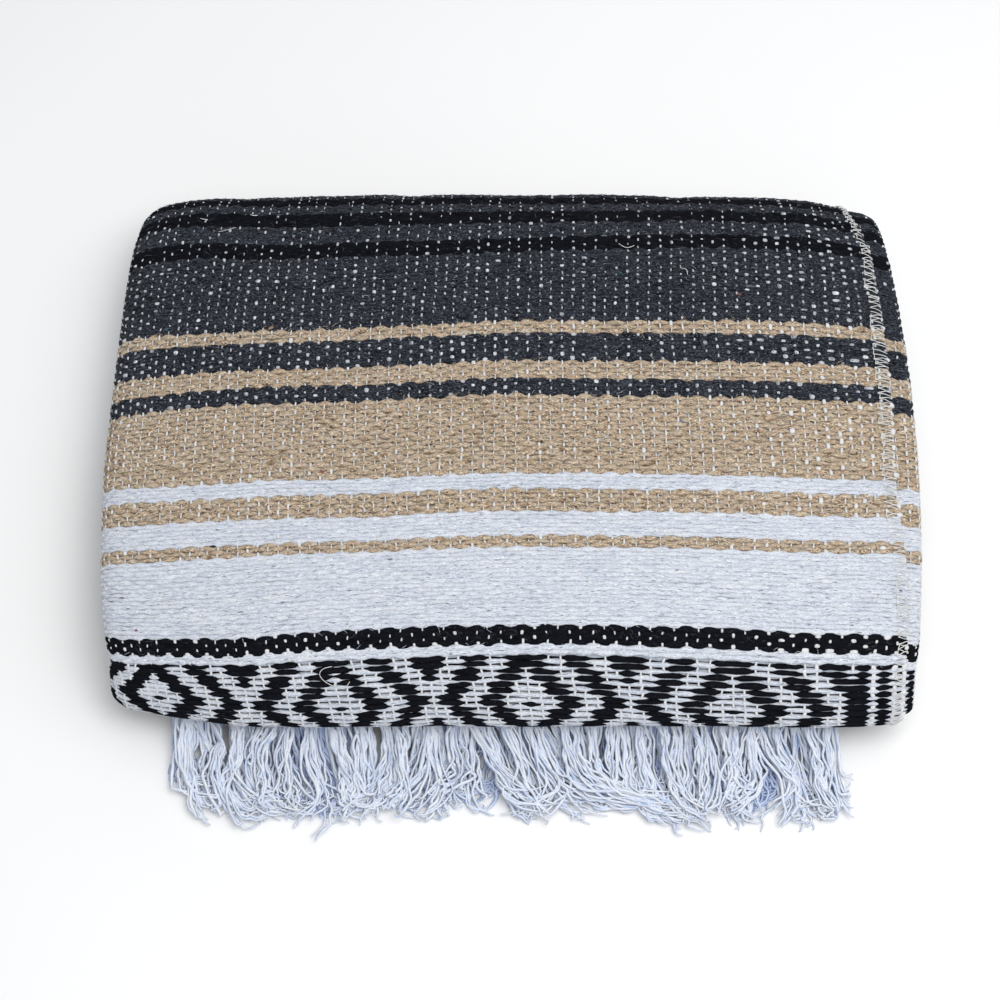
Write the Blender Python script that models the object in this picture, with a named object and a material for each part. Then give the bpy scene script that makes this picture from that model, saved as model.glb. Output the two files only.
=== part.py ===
"""A folded falsa serape: a handwoven striped blanket, folded in thirds across and in six lengthwise.

The pack lies on its underside.  X runs across the pack, Y from its front fold to its back fold
and Z up, in metres.  The outer cloth is one wall that starts under the front fold, goes over the
top, round the back and along the underside, and ends in the lower front fold.  Its left side is
a rolled fold, and its right side a free edge that lies on the fold of the layer below.
"""
import math
import random

import bmesh
import bpy

# Sizes of the whole pack
PACK_WIDTH = 0.418          # side fold to side fold
PACK_DEPTH = 0.321          # front fold to back fold
CLOTH = 0.003               # thickness of one layer
GAP = 0.0003                # clearance between neighbouring solids
FRINGE_REACH = 0.046        # how far the fringe lies out in front of the front fold

# Side outline of the folded cloth, seen along X
FRONT_RADIUS = 0.011        # upper front fold
FRONT_TUCK = 0.0095         # how far the cloth runs on under the pack behind it
LOWER_RADIUS = 0.0095       # lower front fold
LOWER_SETBACK = 0.0135      # how far the lower fold's middle lies behind the upper one's
FRINGE_SLOT = 0.0036        # room for the fringe's heading between the two front folds
SLOPE_TILT = 57.0           # slope of the cloth just above the front fold, in degrees
SHOULDER_TILT = 37.0        # slope where the long front slope rounds over to the top
SLOPE_RADIUS = 0.082
SHOULDER_RADIUS = 0.048
BACK_TILT = 25.0            # slope at which the back shoulder and foot meet the back round
BACK_SHOULDER_RADIUS = 0.070
BACK_FOOT_RADIUS = 0.050

# How the pack falls away towards its sides
CROWN_DROP = 0.17           # share of the height lost at the side folds
CROWN_POWER = 2.3
LEFT_SETBACK = 0.055        # share of the depth lost at the side folds, which rounds the corners
RIGHT_SETBACK = 0.030
CORNER_POWER = 8.0
SIDE_BULGE = 0.022          # share of the width that the sides bulge by at their fullest
BULGE_Y = 0.016             # where that is
BULGE_REACH = 0.100         # and how far from there the sides are back at the plain width
LEAST_BULGE = -0.032        # the sides draw in no further than this, at the front and back

# The rolled left side of the outer cloth, and the fold on the right below it
ROLL_WIDTH = 0.013
ROLL_DEPTH = 0.008
UNDER_ROLL_WIDTH = 0.010
UNDER_ROLL_DEPTH = 0.005
ROLL_END = 92.0             # degrees that each roll turns before it ends
ROLL_STEPS = 5
FREE_EDGE_FRONT = 0.200     # X of the free right edge at the front and on the top
FREE_EDGE_BACK = 0.191      # and where it goes over the back
FREE_EDGE_SHIFT = (0.36, 0.50)   # shares of the outline between which it drifts inwards
UNDER_START = 0.150         # X where the layer below begins, hidden by the outer cloth
UNDER_COLUMNS = 4
# X of the columns on the flat of the pack, as shares of its half width, closer near the sides
COLUMN_SHARES = (-0.86, -0.77, -0.66, -0.53, -0.37, -0.19, 0.0, 0.19, 0.37, 0.53, 0.66)
EDGE_COLUMNS = 4            # and from the last of them to the free edge

# The hidden layers
CORE_SIDE_STEPS = 3         # rings that follow a roll's inside
CORE_CLEARANCE = 0.0012     # from the ends of the two front folds to the core's front face
SPINE_INSET = 0.034         # distance of the spine's ends from the front and back of the core

# Layers of the pack's two sides below the roll: share of the half height, set back from the side
SIDE_LAYERS = [
    # (layer,            share, setback)
    ("below the roll",   0.800, 0.0060),
    ("second layer top", 0.730, 0.0022),
    ("second layer",     0.590, 0.0008),
    ("second layer foot", 0.450, 0.0022),
    ("groove",           0.390, 0.0058),
    ("third layer top",  0.330, 0.0022),
    ("third layer",      0.210, 0.0010),
    ("third layer foot", 0.090, 0.0026),
    ("middle groove",    0.045, 0.0060),
]

# The fringe, whose heading lies between the two front folds
FRINGE_WIDTH = 0.350
HEADING_FRONT = -0.1470     # Y of its front face
HEADING_DEPTH = 0.0080
HEADING_THICK = 0.0028
LOCK_PAIRS = 62
LOCK_SHARE = 0.44           # width of a lock as a share of the pitch of the pairs
TIP_SHARE = 0.45            # width of its tip as a share of its own width
TIP_SPAN = (-0.171, 0.179)  # X of the outermost tips
TIP_GAPS = (0.35, 1.65)     # least and most space between tips, as shares of the mean
SHORTEST_LOCK = 0.80        # reach of the shortest lock, as a share of the longest
LONGEST_LOCK = 0.99         # and of the longest but the middle one
LOCK_PLACES = {"upper": 0.25, "lower": 0.75}   # middle of each row's lock within a pair
LOCK_SEEDS = {"upper": 11, "lower": 29}

# Route of a lock: how far out it is, as a share of its reach, and the height and thickness there
LOCK_ROUTES = {
    "upper": [
        # (place, forward, middle height, thickness)
        ("bend", 0.10, 0.0190, 0.0024),
        ("fall", 0.24, 0.0128, 0.0023),
        ("lie",  0.48, 0.0076, 0.0022),
        ("tip",  1.00, 0.0046, 0.0013),
    ],
    "lower": [
        ("bend", 0.07, 0.0160, 0.0022),
        ("fall", 0.15, 0.0080, 0.0022),
        ("lie",  0.38, 0.0022, 0.0020),
        ("tip",  0.94, 0.0013, 0.0012),
    ],
}

SHARP_ANGLE = 50.0          # folds tighter than this stay sharp in the shading

# Surface of each piece of cloth
FINISHES = {
    # node:          (colour,              roughness)
    "outer_cloth":   ((0.42, 0.38, 0.34), 0.95),
    "under_fold":    ((0.36, 0.33, 0.31), 0.95),
    "folded_layers": ((0.30, 0.28, 0.27), 0.95),
    "fringe":        ((0.76, 0.80, 0.88), 0.90),
}

HALF_WIDTH = PACK_WIDTH / 2
FRONT_Y = -PACK_DEPTH / 2
FOLD_Y = FRONT_Y + FRONT_RADIUS
FRAME_SHIFT = FRINGE_REACH / 2
LOWER_Y = FOLD_Y + LOWER_SETBACK
LOCK_REACH = FRINGE_REACH + HEADING_FRONT - FRONT_Y
LOCK_PITCH = FRINGE_WIDTH / LOCK_PAIRS
LOCK_WIDTH = LOCK_PITCH * LOCK_SHARE


def turn_reach(radius, start, end):
    """Y travelled while the outline turns clockwise from one heading to another."""
    return radius * (math.sin(math.radians(start)) - math.sin(math.radians(end)))


def turn_rise(radius, start, end):
    """Z travelled while the outline turns clockwise from one heading to another."""
    return radius * (math.cos(math.radians(end)) - math.cos(math.radians(start)))


SLOT_TOP = 2 * LOWER_RADIUS + FRINGE_SLOT
PACK_HEIGHT = (SLOT_TOP + turn_rise(FRONT_RADIUS, 180, SLOPE_TILT)
               + turn_rise(SLOPE_RADIUS, SLOPE_TILT, SHOULDER_TILT)
               + turn_rise(SHOULDER_RADIUS, SHOULDER_TILT, 0))
BACK_ROUND_RADIUS = ((PACK_HEIGHT + turn_rise(BACK_SHOULDER_RADIUS, 0, -BACK_TILT)
                      + turn_rise(BACK_FOOT_RADIUS, BACK_TILT - 180, -180))
                     / (2 * math.cos(math.radians(BACK_TILT))))
TOP_START = (turn_reach(FRONT_RADIUS, 90, SLOPE_TILT)
             + turn_reach(SLOPE_RADIUS, SLOPE_TILT, SHOULDER_TILT)
             + turn_reach(SHOULDER_RADIUS, SHOULDER_TILT, 0))
BACK_REACH = (turn_reach(BACK_SHOULDER_RADIUS, 0, -BACK_TILT)
              + turn_reach(BACK_ROUND_RADIUS, -BACK_TILT, -90))
TOP_RUN = PACK_DEPTH - TOP_START - BACK_REACH
FOOT_REACH = (turn_reach(BACK_FOOT_RADIUS, BACK_TILT - 180, -180)
              + turn_reach(BACK_ROUND_RADIUS, -90, BACK_TILT - 180))
BOTTOM_RUN = -FRONT_Y - LOWER_Y + FOOT_REACH

# The side outline, a row for each fold or run, turning clockwise from a heading to the front
OUTLINE = [
    # (stretch,        turn in degrees,              radius,               run,        steps)
    ("front tuck",     0.0,                          0.0,                  FRONT_TUCK, 1),
    ("front fold",     180 - SLOPE_TILT,             FRONT_RADIUS,         0.0,        8),
    ("front slope",    SLOPE_TILT - SHOULDER_TILT,   SLOPE_RADIUS,         0.0,        3),
    ("front shoulder", SHOULDER_TILT,                SHOULDER_RADIUS,      0.0,        4),
    ("top",            0.0,                          0.0,                  TOP_RUN,    6),
    ("back shoulder",  BACK_TILT,                    BACK_SHOULDER_RADIUS, 0.0,        3),
    ("back round",     180 - 2 * BACK_TILT,          BACK_ROUND_RADIUS,    0.0,        10),
    ("back foot",      BACK_TILT,                    BACK_FOOT_RADIUS,     0.0,        3),
    ("underside",      0.0,                          0.0,                  BOTTOM_RUN, 6),
    ("lower fold",     180.0,                        LOWER_RADIUS,         0.0,        9),
]
CORE_OUTLINE = [row for row in OUTLINE if row[0] not in ("front tuck", "front fold", "lower fold")]


def outline_points(rows, start, heading, inset):
    """(y, z) points along the outline, moved inwards by inset."""
    angle = math.radians(heading)
    y = start[0] + inset * math.sin(angle)
    z = start[1] - inset * math.cos(angle)
    points = [(y, z)]
    for _, turn, radius, run, steps in rows:
        for _ in range(steps):
            half_turn = math.radians(turn) / steps / 2
            chord = run / steps + 2 * (radius - inset) * math.sin(half_turn) * (radius > 0)
            angle -= half_turn
            y += chord * math.cos(angle)
            z += chord * math.sin(angle)
            angle -= half_turn
            points.append((y, z))
    return points


def cloth_outline(inset):
    return outline_points(OUTLINE, (FOLD_Y + FRONT_TUCK, SLOT_TOP), 180.0, inset)


def core_outline(inset):
    """The outline without its front folds, from the front slope to the underside."""
    tilt = math.radians(SLOPE_TILT)
    start = (FOLD_Y - FRONT_RADIUS * math.sin(tilt),
             SLOT_TOP + FRONT_RADIUS * (1 + math.cos(tilt)))
    points = outline_points(CORE_OUTLINE, start, SLOPE_TILT, inset)
    upper_front = FOLD_Y + FRONT_TUCK + CORE_CLEARANCE
    lower_front = LOWER_Y + CLOTH + CORE_CLEARANCE
    middle = PACK_HEIGHT / 2
    return [(max(y, upper_front if z > middle else lower_front), z) for y, z in points]


def settled(x, y, z):
    """A point of the flat-sided pack, after the pack has sunk towards its sides and corners."""
    side = min(abs(x) / HALF_WIDTH, 1.0)
    height = z * (1 - CROWN_DROP * side ** CROWN_POWER)
    setback = RIGHT_SETBACK if x > 0 else LEFT_SETBACK
    depth = y * (1 - setback * side ** CORNER_POWER)
    bulge = SIDE_BULGE * (1 - ((y - BULGE_Y) / BULGE_REACH) ** 2)
    return (x * (1 + max(bulge, LEAST_BULGE)), depth + FRAME_SHIFT, height)


def roll_column(side, angle, width, depth, inset):
    """Outer and inner (x, inset) of a wall that rolls down over a side fold."""
    sine, drop = math.sin(angle), 1 - math.cos(angle)
    centre = HALF_WIDTH - width
    outer = (side * (centre + width * sine), inset + depth * drop)
    inner = (side * (centre + (width - CLOTH) * sine), inset + CLOTH + (depth - CLOTH) * drop)
    return outer, inner


def roll_columns(side, width, depth, inset):
    """Columns of a rolled side, from its end to where it starts to turn."""
    end = math.radians(ROLL_END)
    return [roll_column(side, end * (1 - step / ROLL_STEPS), width, depth, inset)
            for step in range(ROLL_STEPS)]


def smooth_share(value, low, high):
    share = min(max((value - low) / (high - low), 0.0), 1.0)
    return share * share * (3 - 2 * share)


def free_edge(share):
    drift = smooth_share(share, *FREE_EDGE_SHIFT)
    return FREE_EDGE_FRONT + (FREE_EDGE_BACK - FREE_EDGE_FRONT) * drift


def outer_columns(share):
    """Columns of the outer cloth at a share of the outline, from left to right."""
    flat = [-HALF_WIDTH + ROLL_WIDTH] + [HALF_WIDTH * place for place in COLUMN_SHARES]
    last = flat[-1]
    for step in range(1, EDGE_COLUMNS + 1):
        flat.append(last + (free_edge(share) - last) * step / EDGE_COLUMNS)
    rolled = roll_columns(-1, ROLL_WIDTH, ROLL_DEPTH, 0.0)
    return rolled + [((x, 0.0), (x, CLOTH)) for x in flat]


def under_columns(share):
    """Columns of the layer below, from its hidden start to its fold on the right."""
    inset = CLOTH + GAP
    right = HALF_WIDTH - UNDER_ROLL_WIDTH
    columns = []
    for step in range(UNDER_COLUMNS + 1):
        x = UNDER_START + (right - UNDER_START) * step / UNDER_COLUMNS
        columns.append(((x, inset), (x, inset + CLOTH)))
    rolled = roll_columns(1, UNDER_ROLL_WIDTH, UNDER_ROLL_DEPTH, inset)
    return columns + rolled[::-1]


def finish(name):
    """The matt material of one node."""
    colour, roughness = FINISHES[name]
    shade = bpy.data.materials.new(name + "_finish")
    shade.use_nodes = True
    surface = shade.node_tree.nodes["Principled BSDF"]
    surface.inputs["Base Color"].default_value = (*colour, 1.0)
    surface.inputs["Roughness"].default_value = roughness
    surface.inputs["Metallic"].default_value = 0.0
    return shade


def add_object(name, mesh_maker):
    """An object whose mesh is closed, with its faces pointing out."""
    bm = bmesh.new()
    mesh_maker(bm)
    bmesh.ops.recalc_face_normals(bm, faces=bm.faces)
    mesh = bpy.data.meshes.new(name)
    bm.to_mesh(mesh)
    bm.free()
    mesh.shade_smooth()
    mesh.set_sharp_from_angle(angle=math.radians(SHARP_ANGLE))
    mesh.materials.append(finish(name))
    part = bpy.data.objects.new(name, mesh)
    bpy.context.scene.collection.objects.link(part)
    return part


def loft(bm, rings):
    """Faces between closed rings of as many vertices each."""
    for ring, following in zip(rings, rings[1:]):
        count = len(ring)
        for i in range(count):
            j = (i + 1) % count
            bm.faces.new((ring[i], ring[j], following[j], following[i]))


def cap(bm, ring):
    """Faces across a ring whose second half runs back along its first."""
    count = len(ring)
    for i in range(count // 2 - 1):
        bm.faces.new((ring[i], ring[i + 1], ring[count - 2 - i], ring[count - 1 - i]))


def wall(bm, columns_at):
    """A wall of cloth along the whole outline, with its columns given at each share of it."""
    stations = len(cloth_outline(0.0))
    rings = []
    for station in range(stations):
        columns = columns_at(station / (stations - 1))
        outer = [column[0] for column in columns]
        inner = [column[1] for column in reversed(columns)]
        ring = []
        for x, inset in outer + inner:
            y, z = cloth_outline(inset)[station]
            ring.append(bm.verts.new(settled(x, y, z)))
        rings.append(ring)
    loft(bm, rings)
    cap(bm, rings[0])
    cap(bm, rings[-1])


def shrunk(points, share):
    """The core's outline drawn in towards its spine, a line along the middle of the pack."""
    middle = PACK_HEIGHT / 2
    spine_front = FOLD_Y + SPINE_INSET
    spine_back = -FRONT_Y - SPINE_INSET
    drawn = []
    for y, z in points:
        spine_y = min(max(y, spine_front), spine_back)
        drawn.append((spine_y + (y - spine_y) * share, middle + (z - middle) * share))
    return drawn


def side_rings(side, width, depth, inset):
    """(x, points) of the core's rings on one side, from the side's middle inwards."""
    rings = []
    layers = core_outline(CLOTH + GAP)
    for _, share, setback in reversed(SIDE_LAYERS):
        rings.append((side * (HALF_WIDTH - setback), shrunk(layers, share)))
    end = math.radians(ROLL_END)
    for step in range(CORE_SIDE_STEPS):
        angle = end * (1 - step / CORE_SIDE_STEPS)
        _, (x, inner_inset) = roll_column(side, angle, width, depth, inset)
        rings.append((x - side * GAP, core_outline(inner_inset + GAP)))
    return rings


def core(bm):
    """All the hidden layers as one rounded solid, with its layers showing at the two sides."""
    under_inset = CLOTH + GAP
    left = -HALF_WIDTH + ROLL_WIDTH
    right = HALF_WIDTH - UNDER_ROLL_WIDTH
    step_x = UNDER_START - GAP
    rings = side_rings(-1, ROLL_WIDTH, ROLL_DEPTH, 0.0)
    for x in [left] + [HALF_WIDTH * place for place in COLUMN_SHARES] + [step_x - GAP]:
        rings.append((x, core_outline(CLOTH + GAP)))
    for step in range(UNDER_COLUMNS + 1):
        x = step_x + (right - step_x) * step / UNDER_COLUMNS
        rings.append((x, core_outline(under_inset + CLOTH + GAP)))
    rings += side_rings(1, UNDER_ROLL_WIDTH, UNDER_ROLL_DEPTH, under_inset)[::-1]
    made = [[bm.verts.new(settled(x, y, z)) for y, z in points] for x, points in rings]
    loft(bm, made)
    cap(bm, made[0])
    cap(bm, made[-1])


def tip_places(row):
    """X of the tips of one row of locks, unevenly spaced but in the order of their roots."""
    chance = random.Random(LOCK_SEEDS[row])
    spaces = [chance.uniform(*TIP_GAPS) for _ in range(LOCK_PAIRS - 1)]
    scale = (TIP_SPAN[1] - TIP_SPAN[0]) / sum(spaces)
    places = [TIP_SPAN[0]]
    for space in spaces:
        places.append(places[-1] + space * scale)
    return places


def lock_reaches(row):
    """How far each lock of a row reaches; the middle one reaches furthest."""
    chance = random.Random(LOCK_SEEDS[row] + 1)
    reaches = [LOCK_REACH * chance.uniform(SHORTEST_LOCK, LONGEST_LOCK) for _ in range(LOCK_PAIRS)]
    reaches[LOCK_PAIRS // 2] = LOCK_REACH
    return reaches


def draw_lock(bm, root, row, tip_x, reach):
    """A four-sided lock drawn out of the heading from the four vertices of its root."""
    root_x = sum(vertex.co.x for vertex in root) / 4
    ring = root
    for place, forward, height, thickness in LOCK_ROUTES[row]:
        x = root_x + (tip_x - root_x) * forward
        half = LOCK_WIDTH / 2 * (TIP_SHARE if place == "tip" else 1.0)
        y = HEADING_FRONT - forward * reach
        corners = [(x - half, height - thickness / 2), (x + half, height - thickness / 2),
                   (x + half, height + thickness / 2), (x - half, height + thickness / 2)]
        section = [bm.verts.new(settled(corner_x, y, z)) for corner_x, z in corners]
        loft(bm, [ring, section])
        ring = section
    bm.faces.new(ring)


def fringe(bm):
    """The heading, and an upper and a lower row of locks drawn out of its front face."""
    low = 2 * LOWER_RADIUS + GAP
    high = low + HEADING_THICK
    left = -FRINGE_WIDTH / 2
    edges = [("gap", 0.0)]
    for pair in range(LOCK_PAIRS):
        for row, share in LOCK_PLACES.items():
            edges.append((row, pair + share - LOCK_SHARE / 2))
            edges.append(("gap", pair + share + LOCK_SHARE / 2))
    edges.append(("end", float(LOCK_PAIRS)))

    def line(y, z):
        return [bm.verts.new(settled(left + LOCK_PITCH * place, y, z)) for _, place in edges]

    front_low, front_high = line(HEADING_FRONT, low), line(HEADING_FRONT, high)
    back_y = HEADING_FRONT + HEADING_DEPTH
    back_low, back_high = line(back_y, low), line(back_y, high)
    last = len(edges) - 1
    for end in (0, last):
        bm.faces.new((front_low[end], back_low[end], back_high[end], front_high[end]))
    tips = {row: tip_places(row) for row in LOCK_ROUTES}
    reaches = {row: lock_reaches(row) for row in LOCK_ROUTES}
    for i in range(last):
        bm.faces.new((front_low[i], front_low[i + 1], back_low[i + 1], back_low[i]))
        bm.faces.new((front_high[i], front_high[i + 1], back_high[i + 1], back_high[i]))
        bm.faces.new((back_low[i], back_low[i + 1], back_high[i + 1], back_high[i]))
        root = [front_low[i], front_low[i + 1], front_high[i + 1], front_high[i]]
        row, place = edges[i]
        if row == "gap":
            bm.faces.new(root)
        else:
            pair = int(place)
            draw_lock(bm, root, row, tips[row][pair], reaches[row][pair])


def clear_scene():
    for item in list(bpy.data.objects):
        bpy.data.objects.remove(item, do_unlink=True)


def build():
    clear_scene()
    add_object("outer_cloth", lambda bm: wall(bm, outer_columns))
    add_object("under_fold", lambda bm: wall(bm, under_columns))
    add_object("folded_layers", core)
    add_object("fringe", fringe)


build()
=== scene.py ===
"""Looks of a folded falsa serape: weft and warp yarns laid over the folded cloth, its diamond
band, serged edge, layered sides and fringe.

Sizes are in metres in the shared frame: X across the pack, -Y its front, Z up.  A place on a
layer of cloth is given by s, the way along its outline from under the front fold over the top
to the back and round, by u, the way across it, and by lift, the height over the layer's surface.
"""
import math
import random
from collections import namedtuple
from types import SimpleNamespace

import bpy
import numpy as np
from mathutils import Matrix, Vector


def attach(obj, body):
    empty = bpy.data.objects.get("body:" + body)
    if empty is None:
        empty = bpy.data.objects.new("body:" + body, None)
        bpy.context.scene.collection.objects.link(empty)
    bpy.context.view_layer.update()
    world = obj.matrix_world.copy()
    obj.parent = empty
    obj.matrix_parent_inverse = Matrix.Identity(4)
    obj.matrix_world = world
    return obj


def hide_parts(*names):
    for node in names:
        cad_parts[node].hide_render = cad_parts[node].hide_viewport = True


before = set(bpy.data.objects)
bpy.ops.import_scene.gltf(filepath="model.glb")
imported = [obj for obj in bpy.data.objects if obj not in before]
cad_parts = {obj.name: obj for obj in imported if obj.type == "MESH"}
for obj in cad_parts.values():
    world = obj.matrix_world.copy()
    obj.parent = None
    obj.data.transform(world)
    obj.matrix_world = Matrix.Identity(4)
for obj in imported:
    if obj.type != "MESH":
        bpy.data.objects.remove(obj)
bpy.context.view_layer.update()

MM = 0.001

# ---- the folded cloth's outline
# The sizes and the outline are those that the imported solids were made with
PACK_WIDTH = 0.418
PACK_DEPTH = 0.321
CLOTH = 0.003
GAP = 0.0003
FRINGE_REACH = 0.046
FRONT_RADIUS = 0.011
FRONT_TUCK = 0.0095
LOWER_RADIUS = 0.0095
LOWER_SETBACK = 0.0135
FRINGE_SLOT = 0.0036
SLOPE_TILT = 57.0
SHOULDER_TILT = 37.0
SLOPE_RADIUS = 0.082
SHOULDER_RADIUS = 0.048
BACK_TILT = 25.0
BACK_SHOULDER_RADIUS = 0.070
BACK_FOOT_RADIUS = 0.050
CROWN_DROP = 0.17
CROWN_POWER = 2.3
LEFT_SETBACK = 0.055
RIGHT_SETBACK = 0.030
CORNER_POWER = 8.0
SIDE_BULGE = 0.022
BULGE_Y = 0.016
BULGE_REACH = 0.100
LEAST_BULGE = -0.032
ROLL_WIDTH = 0.013
ROLL_DEPTH = 0.008
UNDER_ROLL_WIDTH = 0.010
UNDER_ROLL_DEPTH = 0.005
HEADING_FRONT = -0.1470
CORE_CLEARANCE = 0.0012
SPINE_INSET = 0.034

HALF_WIDTH = PACK_WIDTH / 2
FRONT_Y = -PACK_DEPTH / 2
FOLD_Y = FRONT_Y + FRONT_RADIUS
FRAME_SHIFT = FRINGE_REACH / 2
LOWER_Y = FOLD_Y + LOWER_SETBACK
SLOT_TOP = 2 * LOWER_RADIUS + FRINGE_SLOT


def turn_reach(radius, start, end):
    """Y travelled while the outline turns clockwise from one heading to another."""
    return radius * (math.sin(math.radians(start)) - math.sin(math.radians(end)))


def turn_rise(radius, start, end):
    """Z travelled while the outline turns clockwise from one heading to another."""
    return radius * (math.cos(math.radians(end)) - math.cos(math.radians(start)))


PACK_HEIGHT = (SLOT_TOP + turn_rise(FRONT_RADIUS, 180, SLOPE_TILT)
               + turn_rise(SLOPE_RADIUS, SLOPE_TILT, SHOULDER_TILT)
               + turn_rise(SHOULDER_RADIUS, SHOULDER_TILT, 0))
BACK_ROUND_RADIUS = ((PACK_HEIGHT + turn_rise(BACK_SHOULDER_RADIUS, 0, -BACK_TILT)
                      + turn_rise(BACK_FOOT_RADIUS, BACK_TILT - 180, -180))
                     / (2 * math.cos(math.radians(BACK_TILT))))
TOP_START = (turn_reach(FRONT_RADIUS, 90, SLOPE_TILT)
             + turn_reach(SLOPE_RADIUS, SLOPE_TILT, SHOULDER_TILT)
             + turn_reach(SHOULDER_RADIUS, SHOULDER_TILT, 0))
BACK_REACH = (turn_reach(BACK_SHOULDER_RADIUS, 0, -BACK_TILT)
              + turn_reach(BACK_ROUND_RADIUS, -BACK_TILT, -90))
TOP_RUN = PACK_DEPTH - TOP_START - BACK_REACH
FOOT_REACH = (turn_reach(BACK_FOOT_RADIUS, BACK_TILT - 180, -180)
              + turn_reach(BACK_ROUND_RADIUS, -90, BACK_TILT - 180))
BOTTOM_RUN = -FRONT_Y - LOWER_Y + FOOT_REACH

OUTLINE = [
    # (stretch,        turn in degrees,            radius,               run)
    ("front tuck",     0.0,                        0.0,                  FRONT_TUCK),
    ("front fold",     180 - SLOPE_TILT,           FRONT_RADIUS,         0.0),
    ("front slope",    SLOPE_TILT - SHOULDER_TILT, SLOPE_RADIUS,         0.0),
    ("front shoulder", SHOULDER_TILT,              SHOULDER_RADIUS,      0.0),
    ("top",            0.0,                        0.0,                  TOP_RUN),
    ("back shoulder",  BACK_TILT,                  BACK_SHOULDER_RADIUS, 0.0),
    ("back round",     180 - 2 * BACK_TILT,        BACK_ROUND_RADIUS,    0.0),
    ("back foot",      BACK_TILT,                  BACK_FOOT_RADIUS,     0.0),
    ("underside",      0.0,                        0.0,                  BOTTOM_RUN),
    ("lower fold",     180.0,                      LOWER_RADIUS,         0.0),
]
OUTLINE_STEP = 0.00025


def follow_outline():
    """Arrays of s, y, z and heading along the outline, and where each stretch ends."""
    angle = math.pi
    y, z, s = FOLD_Y + FRONT_TUCK, SLOT_TOP, 0.0
    rows, ends = [(s, y, z, angle)], {}
    for stretch, turn, radius, run in OUTLINE:
        length = run + radius * math.radians(turn)
        steps = max(1, int(length / OUTLINE_STEP))
        for _ in range(steps):
            angle -= math.radians(turn) / steps / 2
            y += length / steps * math.cos(angle)
            z += length / steps * math.sin(angle)
            angle -= math.radians(turn) / steps / 2
            s += length / steps
            rows.append((s, y, z, angle))
        ends[stretch] = s
    return np.array(rows).T, ends


(PATH_S, PATH_Y, PATH_Z, PATH_A), ENDS = follow_outline()
WHOLE = PATH_S[-1]
FACE_START = 0.008            # s where the outer cloth's yarns start, under the front fold
FACE_END = ENDS["back foot"]  # and where they stop, on the floor behind the pack


def smooth_share(value, low, high):
    """0 below low, 1 above high, and a smooth rise between them."""
    share = np.clip((value - low) / (high - low), 0.0, 1.0)
    return share * share * (3 - 2 * share)


def settled(x, y, z):
    """Places of the flat-sided pack, after the pack has sunk towards its sides and corners."""
    side = np.minimum(np.abs(x) / HALF_WIDTH, 1.0)
    height = z * (1 - CROWN_DROP * side ** CROWN_POWER)
    setback = np.where(x > 0, RIGHT_SETBACK, LEFT_SETBACK)
    depth = y * (1 - setback * side ** CORNER_POWER)
    bulge = SIDE_BULGE * (1 - ((y - BULGE_Y) / BULGE_REACH) ** 2)
    wide = x * (1 + np.maximum(bulge, LEAST_BULGE))
    return eased(np.stack([wide, depth + FRAME_SHIFT, height], axis=-1))


# Where the dressed cloth stands proud of the plain form or falls short of it: how far, in metres
# or as a share of the height, and the spans of X and Y over which that sets in.  The left and the
# front are counted outwards, with positive numbers, except for the back edge's own spans.
RIGHT_EASE, RIGHT_X = 0.0019, (0.150, 0.209)             # the right side, all along
LEFT_EASE, LEFT_X = 0.0018, (0.150, 0.205)               # the left side, drawn in
LEFT_MIDDLE, LEFT_REACH = 0.060, 0.070                   # Y where that is most, and its reach
FRONT_LEFT_EASE, FRONT_LEFT_X, FRONT_LEFT_Y = 0.0052, (0.120, 0.188), (0.060, 0.128)
BACK_RIGHT_SINK, BACK_RIGHT_X, BACK_RIGHT_Y = 0.035, (0.130, 0.200), (0.080, 0.170)
BACK_LEFT_PUSH, BACK_LEFT_X = 0.0013, (0.155, 0.185)
TOP_SINK, TOP_DRAW = 0.045, 0.0007                       # the middle of the back edge
TOP_LEFT_X, TOP_RIGHT_X, TOP_Y = (-0.165, -0.120), (0.130, 0.175), (0.080, 0.165)


def eased(places):
    """Places after the cloth's own small give at the sides and corners."""
    x, y, z = places[..., 0], places[..., 1], places[..., 2]
    right = smooth_share(x, *RIGHT_X)
    left = smooth_share(-x, *LEFT_X) * np.exp(-((y - LEFT_MIDDLE) / LEFT_REACH) ** 2)
    corner = smooth_share(-x, *FRONT_LEFT_X) * smooth_share(-y, *FRONT_LEFT_Y)
    far = smooth_share(y, *TOP_Y)
    top = far * smooth_share(x, *TOP_LEFT_X) * (1 - smooth_share(x, *TOP_RIGHT_X))
    moved_y = y + FRONT_LEFT_EASE * corner - TOP_DRAW * top
    moved_y = moved_y + BACK_LEFT_PUSH * far * smooth_share(-x, *BACK_LEFT_X)
    back = smooth_share(x, *BACK_RIGHT_X) * smooth_share(y, *BACK_RIGHT_Y)
    return np.stack([x + RIGHT_EASE * right + LEFT_EASE * left, moved_y,
                     z * (1 - BACK_RIGHT_SINK * back - TOP_SINK * top)], axis=-1)


def inset_place(s, x, inset):
    """Places at s and x, moved in from the outer cloth's surface by inset."""
    y = np.interp(s, PATH_S, PATH_Y)
    z = np.interp(s, PATH_S, PATH_Z)
    angle = np.interp(s, PATH_S, PATH_A)
    return settled(x, y + inset * np.sin(angle), z - inset * np.cos(angle))


def quarter(width, depth):
    """About the length of a quarter of an ellipse."""
    return math.pi / 2 * math.sqrt((width ** 2 + depth ** 2) / 2)


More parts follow.
